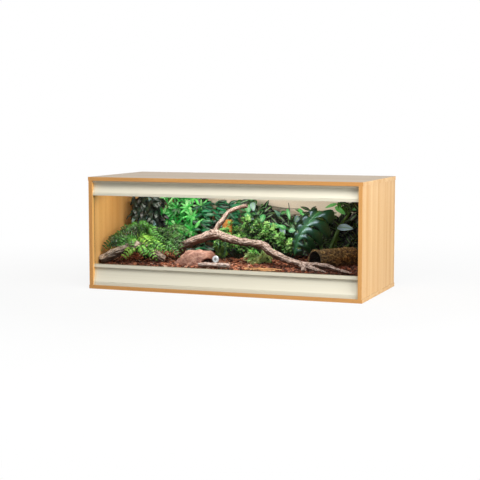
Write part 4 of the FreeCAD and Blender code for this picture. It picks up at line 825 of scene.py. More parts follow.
# The cork tile: a rough-sawn strip of cork bark pushed upright into the bed among the plants. The
# saw has opened it to its warm tan granules.
TILE_LOW, TILE_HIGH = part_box("cork_tile")
TILE_LEVELS, TILE_SIDES = 49, 32
GRANULE_SIZES = (0.009, 0.009, 0.014)
material, tree, shader = new_material("cork_bark_sawn", 0.85)
mottled(tree, shader, GRANULE_SIZES, ((0.30, "#7E4719"), (0.50, "#C98239"), (0.72, "#DDA257")),
        detail=5.0, relief=0.002, roughness=0.6)
middle, half = (TILE_LOW + TILE_HIGH) / 2, (TILE_HIGH - TILE_LOW) / 2
tile_points = []
for level in range(TILE_LEVELS):
    for side in range(TILE_SIDES):
        angle = 2 * math.pi * side / TILE_SIDES
        x, y = (math.copysign(abs(reach) ** 0.25, reach)
                for reach in (math.cos(angle), math.sin(angle)))
        share = level / (TILE_LEVELS - 1)
        dent = 1 - 0.16 * (0.5 + 0.5 * noise.noise(Vector((x * 2, y * 2, share * 9))))
        edge = 1 - 0.12 * (0.5 + 0.5 * noise.noise(Vector((y, x, share * 5 + 7))))
        top = 0.975 + 0.025 * noise.noise(Vector((x * 2, 0, 5)))
        tile_points.append((middle.x + x * half.x * edge, middle.y + y * half.y * dent,
                            TILE_LOW.z + share * (TILE_HIGH.z - TILE_LOW.z) * top))
tile_faces = net(TILE_LEVELS, TILE_SIDES, ring=True)
tile_faces += [tuple(reversed(range(TILE_SIDES))),
               tuple(range((TILE_LEVELS - 1) * TILE_SIDES, TILE_LEVELS * TILE_SIDES))]
new_piece("cork_strip", tile_points, tile_faces, material, "cork_bark", "cork_tile")


# The plants are artificial ones: leaves moulded from polyethylene, with their veins in the mould,
# pushed onto wire stems in plastic sleeves that stand in the bed. The first is a climber with
# hanging, nearly black leaves; a few carry a painted bluish highlight, and a layer of darker leaves
# behind is a painted shade. All their lengths are in millimetres.
LEAF_SKIN = 0.0006
BLOTCH_SIZE = 0.007
VEIN_DEPTH = 0.0004
STEM_MARK = 2               # the first mark of a stem's points; a leaf's runs from 0 to 1
# Each vine of the climber: where it hangs and how low it reaches.
VINES = (
    (-504, 30, 232), (-490, 44, 190), (-470, 26, 200), (-446, 46, 186), (-424, 26, 190),
    (-410, 48, 196), (-503, 72, 190), (-456, 80, 180), (-418, 82, 180),
)
VINE_TOP, VINE_STEP = 362, 14
CLIMBER_BACK_LEAVES, CLIMBER_BACK = 120, ((-518, 120), (58, 36), (196, 166))


def new_plant():
    """An empty plant: its points, its faces and the marks that colour its points."""
    return {"points": [], "faces": [], "marks": []}


def leaf(plant, foot, run, up, length, width, tint,
         lean=0.75, full=0.9, fold=0.25, droop=0.5, rows=5, halves=2):
    """Add a leaf: run is where it points and up is the side that its upper face looks to."""
    foot, run, up = (np.array(value, float) for value in (foot, run, up))
    run /= np.linalg.norm(run)
    side = np.cross(run, up)
    side /= np.linalg.norm(side)
    up = np.cross(side, run)
    along = np.linspace(0, 1, rows + 1)[:, None]
    across = np.linspace(-1, 1, 2 * halves + 1)[None, :]
    half = width / 2 * np.sin(math.pi * np.clip(along, 0.02, 0.985) ** lean) ** full
    reach = length * np.sin(droop * along) / droop
    drop = length * (1 - np.cos(droop * along)) / droop
    lift = np.abs(across) * half * fold
    grid = (foot + run * (reach + 0 * across)[..., None] + up * (lift - drop)[..., None]
            + side * (across * half)[..., None])
    plant["faces"] += net(rows + 1, 2 * halves + 1, len(plant["points"]))
    plant["points"] += [tuple(point / 1000) for point in grid.reshape(-1, 3)]
    plant["marks"] += [(abs(share), place, tint, 1) for place in along[:, 0] for share in across[0]]


def stem(plant, run, tint=0.5, sides=6):
    """Add a stem along places and radii."""
    first = len(plant["points"])
    points, faces = [], []
    tube(smooth_run(run), sides, points, faces)
    plant["points"] += [tuple(point) for point in points]
    plant["marks"] += [(STEM_MARK, 0, tint, 1)] * len(points)
    plant["faces"] += [tuple(first + point for point in face) for face in faces]


def moulded_leaf(name, dark, light, midrib, bark, roughness, veins, shine=0.5, painted_highlight=None):
    """Moulded polyethylene: a waxy sheen, pressed veins and a paler midrib; high tints take the top
    stop's colour, a painted highlight. Its blotches are patches where the plastic took more or less
    dye."""
    material, tree, shader = new_material(name, roughness)
    shader.inputs["Specular IOR Level"].default_value = shine
    tint = marked(tree)
    blotch = add(tree, "ShaderNodeTexNoise", {}, {
        "Vector": stretched(tree, [BLOTCH_SIZE] * 3), "Scale": 1.0, "Detail": 3.0}).outputs["Fac"]
    lowered = add(tree, "ShaderNodeMath", {"operation": "SUBTRACT"}, {
        0: tint["Blue"], 1: 0.25}).outputs[0]
    shade = add(tree, "ShaderNodeMath", {"operation": "MULTIPLY_ADD"}, {
        0: blotch, 1: 0.5, 2: lowered}).outputs[0]
    halved = add(tree, "ShaderNodeMath", {"operation": "MULTIPLY"}, {0: shade, 1: 0.5}).outputs[0]
    # The top stop paints a highlight: leaves with high tints take its colour.
    blade = add(tree, "ShaderNodeValToRGB", {"stops": (
        (0.05, linear(dark)), (0.45, linear(light)), (0.85, linear(painted_highlight or light)))}, {
        "Fac": halved}).outputs["Color"]
    slant = add(tree, "ShaderNodeMath", {"operation": "MULTIPLY"}, {
        0: tint["Red"], 1: -1.6}).outputs[0]
    ribs = add(tree, "ShaderNodeMath", {"operation": "MULTIPLY_ADD"}, {
        0: tint["Green"], 1: veins, 2: slant}).outputs[0]
    ribs = add(tree, "ShaderNodeMath", {"operation": "PINGPONG"}, {0: ribs, 1: 0.5}).outputs[0]
    veined = add(tree, "ShaderNodeMapRange", {}, {
        "Value": ribs, 1: 0.0, 2: 0.12, 3: 0.72, 4: 1.0}).outputs[0]
    blade = add(tree, "ShaderNodeMix", {"data_type": "RGBA", "blend_type": "MULTIPLY"}, {
        0: 1.0, 6: blade, 7: veined}).outputs[2]
    spine = add(tree, "ShaderNodeMapRange", {}, {
        "Value": tint["Red"], 1: 0.05, 2: 0.28, 3: 0.75, 4: 0.0}).outputs[0]
    blade = add(tree, "ShaderNodeMix", {"data_type": "RGBA"}, {
        0: spine, 6: blade, 7: linear(midrib)}).outputs[2]
    wood = add(tree, "ShaderNodeMath", {"operation": "GREATER_THAN"}, {
        0: tint["Red"], 1: 1.5}).outputs[0]
    colour = add(tree, "ShaderNodeMix", {"data_type": "RGBA"}, {
        0: wood, 6: blade, 7: linear(bark)}).outputs[2]
    tree.links.new(colour, shader.inputs["Base Color"])
    bumped(tree, shader, veined, VEIN_DEPTH)
    return material


def planted(name, plant, material, slot, node, skin=LEAF_SKIN):
    """Make the plant's piece, with the thickness of its plastic."""
    made = new_piece(name, plant["points"], plant["faces"], material, slot, node,
                     marks=plant["marks"])
    thick = made.modifiers.new("plastic", "SOLIDIFY")
    thick.thickness, thick.offset = skin, 0.0
    settle(made)


def somewhere(spread, chance):
    """A random place in a box that is given by its lowest value and its size along each axis."""
    return tuple(low + size * chance.random() for low, size in spread)


luck = random.Random(21)
climber = new_plant()
stem(climber, ((-469, 39, 108, 3.2), (-466, 42, 200, 3.0), (-471, 38, 290, 2.6),
               (-468, 40, 366, 2.0)))
for vine_x, vine_y, low in VINES:
    stem(climber, ((-468, 40, 352, 1.6), ((vine_x - 468) / 2, (vine_y + 40) / 2, 369, 1.5),
                   (vine_x, vine_y, 356, 1.3), (vine_x - 4, vine_y - 4, (low + 356) / 2, 1.1),
                   (vine_x, vine_y, low, 0.8)), sides=5)
    leftmost = -0.35 if vine_x < -485 else -1.0
    for level in range(VINE_TOP, low, -VINE_STEP):
        for _ in range(2):
            foot = (vine_x + luck.uniform(-9, 9), vine_y + luck.uniform(-9, 5),
                    level + luck.uniform(-6, 6))
            stem(climber, ((vine_x, vine_y, foot[2] + 5, 0.8), foot + (0.6,)), sides=4)
            run = (luck.uniform(leftmost, 0.9), -luck.uniform(0.0, 0.9), -luck.uniform(0.1, 1.3))
            # A few leaves get a painted highlight.
            shade = 1.8 if luck.random() < 0.06 else luck.uniform(-0.2, 0.9)
            leaf(climber, foot, run, (luck.uniform(-0.6, 0.8), -1, luck.uniform(0.0, 0.9)),
                 luck.uniform(32, 50), luck.uniform(12, 18), shade,
                 lean=0.85, fold=0.25, droop=luck.uniform(0.2, 1.0))
# The leaves behind are darker: a painted shade.
for _ in range(CLIMBER_BACK_LEAVES):
    foot = somewhere(CLIMBER_BACK, luck)
    stem(climber, ((-468 + 0.3 * (foot[0] + 468), 60, min(foot[2] + 12, 366), 1.0), foot + (0.6,)),
         sides=4)
    leaf(climber, foot, (luck.uniform(-1, 1), -0.3, -luck.uniform(0.1, 1)), (0.2, -1, 0.2),
         luck.uniform(34, 50), luck.uniform(15, 20), -0.3, lean=0.85, fold=0.2)
planted("velvet_climber", climber, moulded_leaf(
    "polyethylene_leaf_black_green", "#030705", "#213D2F", "#3C5046", "#1C2619",
    roughness=0.34, veins=6.0, shine=0.55, painted_highlight="#7EA4A6"), "dark_leaf", "dark_leaf_plant")


# The fern at the left: fronds of paired leaflets that rise out of one crown and fall over the log;
# the fronds to the right and in front are painted yellow green and those at the left and behind
# dark, a painted light and shade, and each frond is darker towards its foot, a painted shade.
FERN_CROWN = (-408, -62, 112)
FERN_FACE = np.array([0.25, -0.80, 0.55])
# Each frond: a place on its middle, its tip, the longest leaflet and its shade, a painted light and
# shade.
FRONDS = (
    ((-474, -150, 203), (-546, -188, 156), 30, 0.15),
    ((-470, -112, 214), (-534, -144, 180), 27, 0.25),
    ((-462, -150, 184), (-524, -180, 160), 27, 0.10),
    ((-466, -76, 230), (-514, -96, 210), 23, 0.30),
    ((-381, -120, 186), (-282, -150, 160), 30, 1.15),
    ((-404, -130, 205), (-331, -172, 172), 27, 1.25),
    ((-409, -160, 172), (-450, -202, 122), 28, 1.30),
    ((-372, -150, 168), (-302, -197, 126), 27, 1.00),
    ((-389, -160, 176), (-346, -200, 134), 25, 0.95),
    ((-304, -92, 204), (-214, -132, 163), 28, 0.30),
    ((-316, -112, 180), (-222, -146, 138), 28, 0.45),
    ((-300, -80, 214), (-222, -90, 188), 25, 0.10),
    ((-300, -60, 240), (-205, -60, 213), 18, 0.35),
    ((-391, -80, 238), (-332, -112, 194), 24, 0.60),
    ((-430, -60, 244), (-396, -50, 236), 18, 0.60),
    ((-455, -60, 240), (-484, -62, 225), 18, 0.40),
    ((-368, -60, 214), (-330, -62, 226), 19, 0.15),
    ((-452, -146, 200), (-505, -176, 172), 24, 0.30),
    ((-340, -92, 190), (-262, -112, 165), 25, 0.10),
    ((-378, -100, 204), (-300, -122, 192), 25, 0.75),
    ((-434, -150, 196), (-482, -188, 152), 25, 0.60),
    ((-356, -140, 182), (-262, -176, 150), 25, 0.80),
    ((-424, -146, 200), (-410, -194, 172), 24, 0.85),
)


def on_arch(foot, bend, tip, share):
    """A place on an arch from its foot to its tip, pulled towards its bend."""
    return (1 - share) ** 2 * foot + 2 * share * (1 - share) * bend + share ** 2 * tip


def frond(plant, foot, middle, tip, longest, tint, chance, leaflet_width=0.33, spacing=0.56):
    """Add a frond: a thin arched stalk with paired leaflets that shorten to both ends."""
    foot, middle, tip = (np.array(place, float) for place in (foot, middle, tip))
    length = np.linalg.norm(middle - foot) + np.linalg.norm(tip - middle)
    bend = 2 * middle - (foot + tip) / 2
    stem(plant, [(*on_arch(foot, bend, tip, number / 8), 1.3 - 0.8 * number / 8)
                 for number in range(9)], tint, sides=5)
    pairs = max(int(length / (spacing * longest)), 5)
    for number in range(pairs + 1):
        share = 0.22 + 0.78 * number / pairs
        place = on_arch(foot, bend, tip, share)
        run = (1 - share) * (bend - foot) + share * (tip - bend)
        run /= np.linalg.norm(run)
        side = np.cross(run, FERN_FACE)
        steep = np.linalg.norm(side) <= 0.05
        side = np.array([1.0, 0, 0]) if steep else side / np.linalg.norm(side)
        up = np.cross(side, run)
        swell = math.sin(math.pi * min(max(share - 0.18, 0) / 0.84, 1) ** 0.8) ** 0.7
        size = 1.15 * longest * (0.25 + 0.75 * swell)
        for way in ((-1, 1) if number < pairs else (0,)):
            out = side * way + run * chance.uniform(0.25, 0.55) + up * chance.uniform(-0.3, 0.2)
            # The leaflets are darker towards the frond's foot: a painted shade.
            leaf(plant, place, out, up + side * 0.1 * chance.uniform(-1, 1),
                 size * chance.uniform(0.85, 1.08), size * leaflet_width,
                 max(tint + 0.5 * (share - 0.6) + chance.uniform(-0.3, 0.2), 0),
                 lean=0.7, full=0.7, fold=0.35, droop=0.5, rows=3, halves=1)


luck = random.Random(5)
fern = new_plant()
for middle, tip, longest, tint in FRONDS:
    start = (FERN_CROWN[0] + luck.uniform(-9, 9), FERN_CROWN[1] + luck.uniform(-8, 8),
             FERN_CROWN[2])
    frond(fern, start, middle, tip, longest, tint, luck)
planted("sword_fern", fern, moulded_leaf(
    "polyethylene_fern_green", "#011A0B", "#4E9C38", "#68A04A", "#26321A",
    roughness=0.38, veins=4.0, painted_highlight="#B0DC54"), "fern_leaf", "fern")


# The bamboo-like plant: bright green whorls of nine narrow leaves on five thin canes, over darker
# leaves behind them that are a painted shade; one leaf in ten carries a painted highlight. Each
# whorl is moulded in one and pushed over a side shoot.
TO_VIEWER = np.array([0.33, -0.94, 0.08])
NARROW_LEAF = {"lean": 0.8, "full": 0.75}
CANES = ((-372, 150), (-330, 138), (-288, 150), (-258, 160), (-405, 158))
BAMBOO_BACK_LEAVES, BAMBOO_BACK = 190, ((-418, 190), (142, 48), (134, 232))
BAMBOO_TOP = 364
luck = random.Random(8)
bamboo = new_plant()
for cane_x, cane_y in CANES:
    foot = (-324 + 0.25 * (cane_x + 324), 145, 112)
    stem(bamboo, (foot + (2.6,), ((foot[0] + cane_x) / 2, 148, 200, 2.3),
                  (cane_x, cane_y, 300, 1.8), (cane_x + 4, cane_y, 362, 1.2)))


def whorl(plant, middle, count, length, width, tint, chance, facing=TO_VIEWER):
    """Add leaves all round a point, like spokes that lean to the viewer."""
    facing = np.array(facing, float) / np.linalg.norm(facing)
    right = np.cross(facing, (0, 0, 1))
    right /= np.linalg.norm(right)
    top = np.cross(right, facing)
    start = chance.uniform(0, math.pi)
    for number in range(count):
        angle = start + 2 * math.pi * (number + chance.uniform(-0.15, 0.15)) / count
        spoke = right * math.cos(angle) + top * math.sin(angle)
        # One leaf in ten gets a painted highlight.
        leaf(plant, middle, spoke + facing * chance.uniform(0.05, 0.6),
             facing + 0.4 * np.array([0, 0, 1]),
             length * chance.uniform(0.75, 1.15), width * chance.uniform(0.85, 1.15),
             1.7 if chance.random() < 0.10 else max(tint + chance.uniform(-0.4, 0.25), 0),
             fold=0.35, droop=chance.uniform(0.2, 0.8), **NARROW_LEAF)


def reached(plant, stems, middle):
    """A thin side shoot from the nearest main stem to the place of a leaf or a whorl."""
    near = min(stems, key=lambda place: abs(place[0] - middle[0]))
    low = min(middle[2] - 8, 345)
    halfway = ((near[0] + middle[0]) / 2, (near[1] + middle[1]) / 2, (low + middle[2]) / 2)
    stem(plant, ((near[0], near[1], low, 1.2), halfway + (1.1,), (*middle, 0.8)), sides=5)


def on_shoot(plant, stems, foot, *measures, **shape):
    """Add a leaf with the side shoot that carries it."""
    reached(plant, stems, foot)
    leaf(plant, foot, *measures, **shape)


# The leaves behind are darker: a painted shade.
for _ in range(BAMBOO_BACK_LEAVES):
    middle = somewhere(BAMBOO_BACK, luck)
    on_shoot(bamboo, CANES, middle, (luck.uniform(-1, 1), -0.4, luck.uniform(-1, 0.8)),
             (0.3, -0.9, 0.4), luck.uniform(34, 48), luck.uniform(10, 14), luck.uniform(-0.4, 0.1),
             fold=0.3, droop=luck.uniform(0.2, 0.8), **NARROW_LEAF)
for row in range(5):
    for column in range(4):
        middle = (-406 + 47 * column + 18 * (row % 2) + luck.uniform(-8, 8),
                  110 + luck.uniform(-18, 24), 212 + 36 * row + luck.uniform(-9, 9))
        if middle[2] > BAMBOO_TOP:
            continue
        reached(bamboo, CANES, middle)
        whorl(bamboo, middle, 9, 41, 10.5, luck.uniform(0.5, 1.15), luck,
              (0.33 + luck.uniform(-0.55, 0.55), -0.94, luck.uniform(-0.3, 0.6)))
for run, length in (((-0.55, -0.3, -0.8), 46), ((0.6, -0.3, -0.75), 46), ((0.9, -0.3, 0.1), 38)):
    leaf(bamboo, (-226, 92, 262), run, (0.2, -0.9, 0.4), length, 13, 1.3,
         fold=0.35, droop=0.5, rows=7, **NARROW_LEAF)
stem(bamboo, ((-258, 160, 240, 1.4), (-240, 128, 256, 1.2), (-226, 92, 262, 1.0)), sides=5)
planted("bamboo_whorls", bamboo, moulded_leaf(
    "polyethylene_leaf_bright_green", "#011D06", "#20B83C", "#6ADA74", "#1E4A1A",
    roughness=0.36, veins=1.0, painted_highlight="#9CEE94"), "bright_leaf", "bamboo_plant")


# The teal-leaved plant: long dark leaves in loose tufts along three stems. They are moulded in a
# bluish green, and a few carry a paler painted highlight.
TUFT_STEMS = ((-190, 122), (-150, 122), (-108, 122))
luck = random.Random(31)
tufts = new_plant()
for (stem_x, stem_y), top in zip(TUFT_STEMS, (340, 346, 336)):
    stem(tufts, ((-151, 123, 112, 3.0), ((stem_x - 151) / 2, 124, 200, 2.6),
                 (stem_x, stem_y, 280, 2.1), (stem_x, 120, top, 1.4)))
for row in range(10):
    for column in range(5):
        middle = (-222 + 33 * column + luck.uniform(-12, 12),
                  98 + 46 * (column % 2) + luck.uniform(-12, 12),
                  132 + 21.5 * row + luck.uniform(-9, 9))
        reached(tufts, TUFT_STEMS, middle)
        for _ in range(4):
            # A few leaves get a painted highlight.
            shade = 2.0 if luck.random() < 0.05 else luck.uniform(-0.1, 1.0)
            run = (luck.choice((-1, 1, 1)), -luck.uniform(0.1, 0.6), luck.uniform(-0.7, 0.6))
            leaf(tufts, middle, run, (0.1, -0.75, luck.uniform(0.2, 0.9)), luck.uniform(42, 62),
                 luck.uniform(14, 19), shade,
                 lean=0.8, full=0.8, fold=0.3, droop=luck.uniform(0.2, 0.9))
planted("teal_tufts", tufts, moulded_leaf(
    "polyethylene_leaf_teal", "#02150B", "#147A45", "#3F9A75", "#24482F",
    roughness=0.34, veins=3.0, shine=0.6, painted_highlight="#6FA89E"), "teal_leaf", "teal_leaf_plant")


# The ivy on the back wall: broad pointed leaves on one thin vine, some moulded in a bright green;
# the dull blue green ones carry a painted highlight.
IVY_VINE = ((-16, 179),)
IVY_LEAVES, IVY_SPREAD = 84, ((-66, 102), (158, 44), (140, 214))
luck = random.Random(17)
ivy = new_plant()
stem(ivy, ((-17, 177, 116, 2.6), (-22, 182, 220, 2.2), (-10, 178, 300, 1.8), (-18, 176, 356, 1.2)))
for _ in range(IVY_LEAVES):
    middle = somewhere(IVY_SPREAD, luck)
    # The highest tint gives a painted highlight.
    shade = luck.choice((0.0, 0.1, 0.3, 0.4, 0.5, 2.0)) if middle[2] > 200 else 0.0
    on_shoot(ivy, IVY_VINE, middle, (luck.uniform(-0.9, 0.9), -0.5, luck.uniform(-0.9, 0.3)),
             (0.35, -0.9, 0.45), luck.uniform(28, 40), luck.uniform(18, 26), shade,
             lean=0.6, full=0.7, fold=0.2, droop=luck.uniform(0.2, 0.7), rows=6)
for foot, run, length, width, tint in (
        ((-62, 150, 322), (0.9, -0.3, -0.5), 34, 28, 1.1),
        ((-30, 148, 330), (0.1, -0.4, -0.9), 36, 30, 1.1),
        ((-70, 146, 300), (-0.7, -0.3, -0.3), 38, 16, 1.1),
        ((-40, 146, 296), (0.6, -0.3, -0.7), 34, 26, 1.1),
        ((-88, 152, 338), (0.95, -0.3, 0.10), 52, 22, 0.25),
        ((-28, 150, 350), (-0.9, -0.3, -0.25), 48, 20, 0.10),
        ((-56, 148, 334), (0.5, -0.4, -0.70), 40, 22, 0.30),
        ((-10, 140, 340), (0.3, -0.4, -0.85), 38, 24, 2.0)):
    on_shoot(ivy, IVY_VINE, foot, run, (0.25, -0.9, 0.45), length, width, tint,
             lean=0.6, full=0.6, fold=0.15, droop=0.4, rows=7)
planted("wall_ivy", ivy, moulded_leaf(
    "polyethylene_leaf_ivy", "#07211F", "#3CC24A", "#8FD08A", "#4A5A33",
    roughness=0.36, veins=4.0, shine=0.7, painted_highlight="#8FB4B2"), "ivy_leaf", "ivy_plant")


# The small-leaved shrub in the middle: sprigs of paired oval leaves, dark below and yellow green
# at their tips, pushed onto twigs that rise from one row of wire stems.
SPRIG_LEAF = 16.0
SPRIG_COUNT = 104
SHRUB_LEFT, SHRUB_WIDTH = -112, 322
SHRUB_RIGHT = 214           # where the great leaf begins, which no tip may pass


def sprig(plant, foot, tip, pairs, size, tint, chance, rounder=0.52):
    """Add a sprig: a thin twig with a rosette at its tip and paired leaves, each pair turned across
    the last."""
    foot, tip = np.array(foot, float), np.array(tip, float)
    run = (tip - foot) / np.linalg.norm(tip - foot)
    side = np.cross(run, (0.2, -1.0, 0.3))
    side /= np.linalg.norm(side)
    other = np.cross(run, side)
    stem(plant, ((*foot, 1.2), (*((foot + tip) / 2 + side * 2), 1.0), (*tip, 0.7)), tint, sides=5)
    for number in range(pairs + 2):
        share = min((number + 0.6) / pairs, 1)
        place = foot + (tip - foot) * share
        around = side if number % 2 else other
        spread, lean_out = (1.0, 0.5) if share < 1 else (0.6, 0.9)
        for way in (-1, 1):
            out = around * way * spread + run * lean_out
            shaken = 0.15 * np.array([chance.uniform(-1, 1) for _ in range(3)])
            # One leaf in ten gets a painted highlight.
            leaf(plant, place, out + shaken, run + 0.2 * np.array([0.3, -1, 0]),
                 size * chance.uniform(0.8, 1.15), size * rounder,
                 1.6 if chance.random() < 0.10
                 else max(tint + 0.5 * share + chance.uniform(-0.3, 0.15), 0),
                 lean=0.8, full=0.6, fold=0.25, droop=0.6, rows=3, halves=1)


luck = random.Random(3)
shrub = new_plant()
for number in range(SPRIG_COUNT):
    share = (number + luck.random()) / SPRIG_COUNT
    across = SHRUB_LEFT + SHRUB_WIDTH * share
    # The shrub is highest at a third of its width and falls away to its right end.
    crest = (288 - 30 * abs(2 * share - 0.6) - 70 * max(share - 0.60, 0) / 0.40
             - (56 if across < -56 else 0))
    near, deep = (14, 24) if across < -58 else (44, 58)
    foot = (across + luck.uniform(-8, 8), near + deep * luck.random(),
            134 + (crest - 165) * luck.random())
    tip = (min(foot[0] + luck.uniform(-26, 26), SHRUB_RIGHT), foot[1] - luck.uniform(6, 30),
           min(foot[2] + luck.uniform(24, 44), crest))
    base = (0.72 * foot[0] + 24, 66 + luck.uniform(-12, 12))
    stem(shrub, (base + (108, 1.6),
                 ((foot[0] + base[0]) / 2, foot[1] + 6, (foot[2] + 100) / 2, 1.5), foot + (1.2,)),
         sides=5)
    paler = 0.35 if across > 150 else 0
    sprig(shrub, foot, tip, 4, SPRIG_LEAF, luck.uniform(-0.3, 0.85) + paler, luck)
for tip_x, tip_z in ((-104, 226), (-88, 230), (-72, 233), (-96, 214), (-78, 218)):
    foot = (tip_x + 4, 28, tip_z - 28)
    stem(shrub, ((-30, 60, 108, 1.6), (tip_x + 20, 30, 150, 1.5), foot + (1.2,)), sides=5)
    sprig(shrub, foot, (tip_x, 14, tip_z), 4, SPRIG_LEAF, luck.uniform(0.1, 0.9), luck)
planted("small_leaf_shrub", shrub, moulded_leaf(
    "polyethylene_leaf_yellow_green", "#021F0C", "#74C058", "#6FAE5A", "#1C2610",
    roughness=0.38, veins=1.0, painted_highlight="#C6F298"), "shrub_leaf", "box_shrub")


# The trailing plant behind the shrub: blue-green leaves on long shoots, one in six with a painted
# bluish highlight, and a few large bright leaves that are moulded apart and clipped on.
TRAILER_STEM = ((139, 178),)
TRAILER_LEAVES, TRAILER_SPREAD = 190, ((34, 200), (142, 60), (136, 188))
luck = random.Random(40)
trailer = new_plant()
stem(trailer, ((140, 177, 116, 3.0), (136, 180, 210, 2.5), (143, 176, 290, 2.0),
               (138, 176, 340, 1.3)))
for _ in range(TRAILER_LEAVES):
    middle = somewhere(TRAILER_SPREAD, luck)
    if middle[2] > 298 and (middle[0] > 116 or luck.random() < 0.5):
        continue
    # About one leaf in six gets a painted highlight.
    shade = luck.uniform(1.5, 2.0) if luck.random() < 0.16 else luck.uniform(-0.3, 0.36)
    on_shoot(trailer, TRAILER_STEM, middle, (luck.uniform(-1, 1), -0.5, luck.uniform(-1.0, 0.5)),
             (0.3, -0.9, luck.uniform(0.1, 0.9)), luck.uniform(34, 52), luck.uniform(18, 25), shade,
             lean=0.65, full=0.75, fold=0.25, droop=luck.uniform(0.2, 0.9))
for foot, run, length, width, tint in (
        ((62, 126, 246), (0.97, -0.3, 0.08), 68, 26, 1.1),
        ((46, 130, 292), (-0.2, -0.6, -0.8), 40, 24, 1.1),
        ((150, 126, 318), (0.35, -0.4, -0.85), 48, 16, 1.1),
        ((-24, 120, 278), (0.35, -0.3, -0.9), 40, 18, 2.0),
        ((204, 110, 322), (0.6, -0.4, -0.5), 46, 16, 1.0),
        ((150, 112, 236), (-0.8, -0.4, 0.5), 38, 20, 1.0),
        ((126, 110, 242), (0.6, -0.4, -0.55), 36, 24, 2.0),
        ((164, 104, 230), (0.9, -0.3, 0.15), 32, 22, 1.3)):
    on_shoot(trailer, TRAILER_STEM, foot, run, (0.2, -0.9, 0.5), length, width, tint,
             lean=0.75, full=0.7, fold=0.15, droop=0.4, rows=8, halves=3)
planted("trailing_shoots", trailer, moulded_leaf(
    "polyethylene_leaf_blue_green", "#03120E", "#3FB84A", "#8CCB84", "#1C2816",
    roughness=0.34, veins=5.0, shine=0.6, painted_highlight="#6F9197"), "trailing_leaf", "trailing_plant")


# The creeping plant on the bed in front of the shrub: 28 pale green sprigs that spread from one
# foot and hang over. The ones in front are painted brighter, with painted highlights, and those
# behind darker, a painted light and shade; its greens are drawn brighter to make up for the shade
# it stands in.
CREEPER_COUNT, CREEPER_LEAF = 28, 24.0
luck = random.Random(13)
creeper = new_plant()
for number in range(CREEPER_COUNT):
    angle = 2 * math.pi * number / CREEPER_COUNT + luck.uniform(-0.1, 0.1)
    reach = luck.uniform(0.45, 1.0)
    foot = (84 + 14 * math.cos(angle), -34 + 8 * math.sin(angle), 112 + luck.uniform(0, 38))
    tip = (84 + 66 * reach * math.cos(angle), -36 + 34 * reach * math.sin(angle),
           max(118 + 50 * reach * luck.uniform(-0.25, 1.0), 112))
    stem(creeper, ((84, -33, 104, 1.8), (foot[0], foot[1], (foot[2] + 100) / 2, 1.5),
                   foot + (1.2,)), sides=5)
    # Sprigs in front get a painted light and highlights, those behind a painted shade.
    tint = luck.uniform(1.0, 2.4) if tip[1] < -38 else luck.uniform(-0.2, 0.8)
    sprig(creeper, foot, tip, 3, CREEPER_LEAF, tint, luck, rounder=0.44)
planted("creeping_sprigs", creeper, moulded_leaf(
    "polyethylene_leaf_spring_green", "#0A6A20", "#98FF78", "#B8FF90", "#3E5424",
    roughness=0.36, veins=1.0, painted_highlight="#E2FFB4"), "creeping_leaf", "creeping_plant")


# The mossy plant behind the rock: fifteen short feathery fronds in one tuft. It is moulded in a
# yellowish green, with a duller skin than the leaves.
MOSS_COUNT = 15
luck = random.Random(29)
moss = new_plant()
for number in range(MOSS_COUNT):
    angle = 2 * math.pi * number / MOSS_COUNT
    reach = luck.uniform(0.6, 1.0)
    tip = np.array([-100 + 34 * reach * math.cos(angle), 6 + 26 * reach * math.sin(angle),
                    118 + 48 * luck.random()])
    foot = np.array([-100 + 4 * math.cos(angle), 7 + 4 * math.sin(angle), 106])
    middle = (foot + tip) / 2 + np.array([0, 0, 11])
    frond(moss, foot, middle, tip, 11, luck.uniform(0.2, 1.1), luck,
          leaflet_width=0.36, spacing=0.35)
planted("feather_moss", moss, moulded_leaf(
    "polyethylene_moss_green", "#153F1C", "#8CC048", "#7FA844", "#4F5F2B",
    roughness=0.5, veins=1.0), "moss_leaf", "moss_plant")


# The plant in the right corner: a thick green stem that leans right, one broad leaf with a painted
# bluish highlight, a few bright leaves at the top and a mass of nearly black ones behind them, a
# painted shade.
CORNER_STEMS = ((360, 130), (430, 146), (480, 150))
DARK_LEAVES, DARK_SPREAD = 300, ((322, 203), (124, 66), (138, 224))
BACK_LEAVES, BACK_SPREAD = 150, ((252, 190), (152, 44), (140, 122))
luck = random.Random(52)
corner = new_plant()
stem(corner, ((362, 84, 108, 7.0), (350, 92, 160, 7.4), (366, 102, 214, 7.4), (384, 112, 258, 6.2),
              (412, 130, 306, 4.2), (432, 150, 358, 1.8)), 1.0, sides=12)
stem(corner, ((372, 92, 108, 4.0), (420, 130, 190, 3.6), (470, 150, 270, 2.8),
              (492, 158, 350, 1.6)), 0.3, sides=8)
# These nearly black leaves are a painted shade.
for _ in range(DARK_LEAVES):
    middle = somewhere(DARK_SPREAD, luck)
    if (middle[0] < 400 and middle[2] > 282) or (middle[0] < 345 and middle[2] > 262):
        continue
    on_shoot(corner, CORNER_STEMS, middle, (luck.uniform(-1, 1), -0.4, luck.uniform(-1.0, 0.5)),
             (0.25, -0.9, 0.5), luck.uniform(34, 54), luck.uniform(16, 24),
             luck.uniform(-0.5, 0.02), lean=0.75, full=0.8, fold=0.2, droop=luck.uniform(0.2, 0.9))
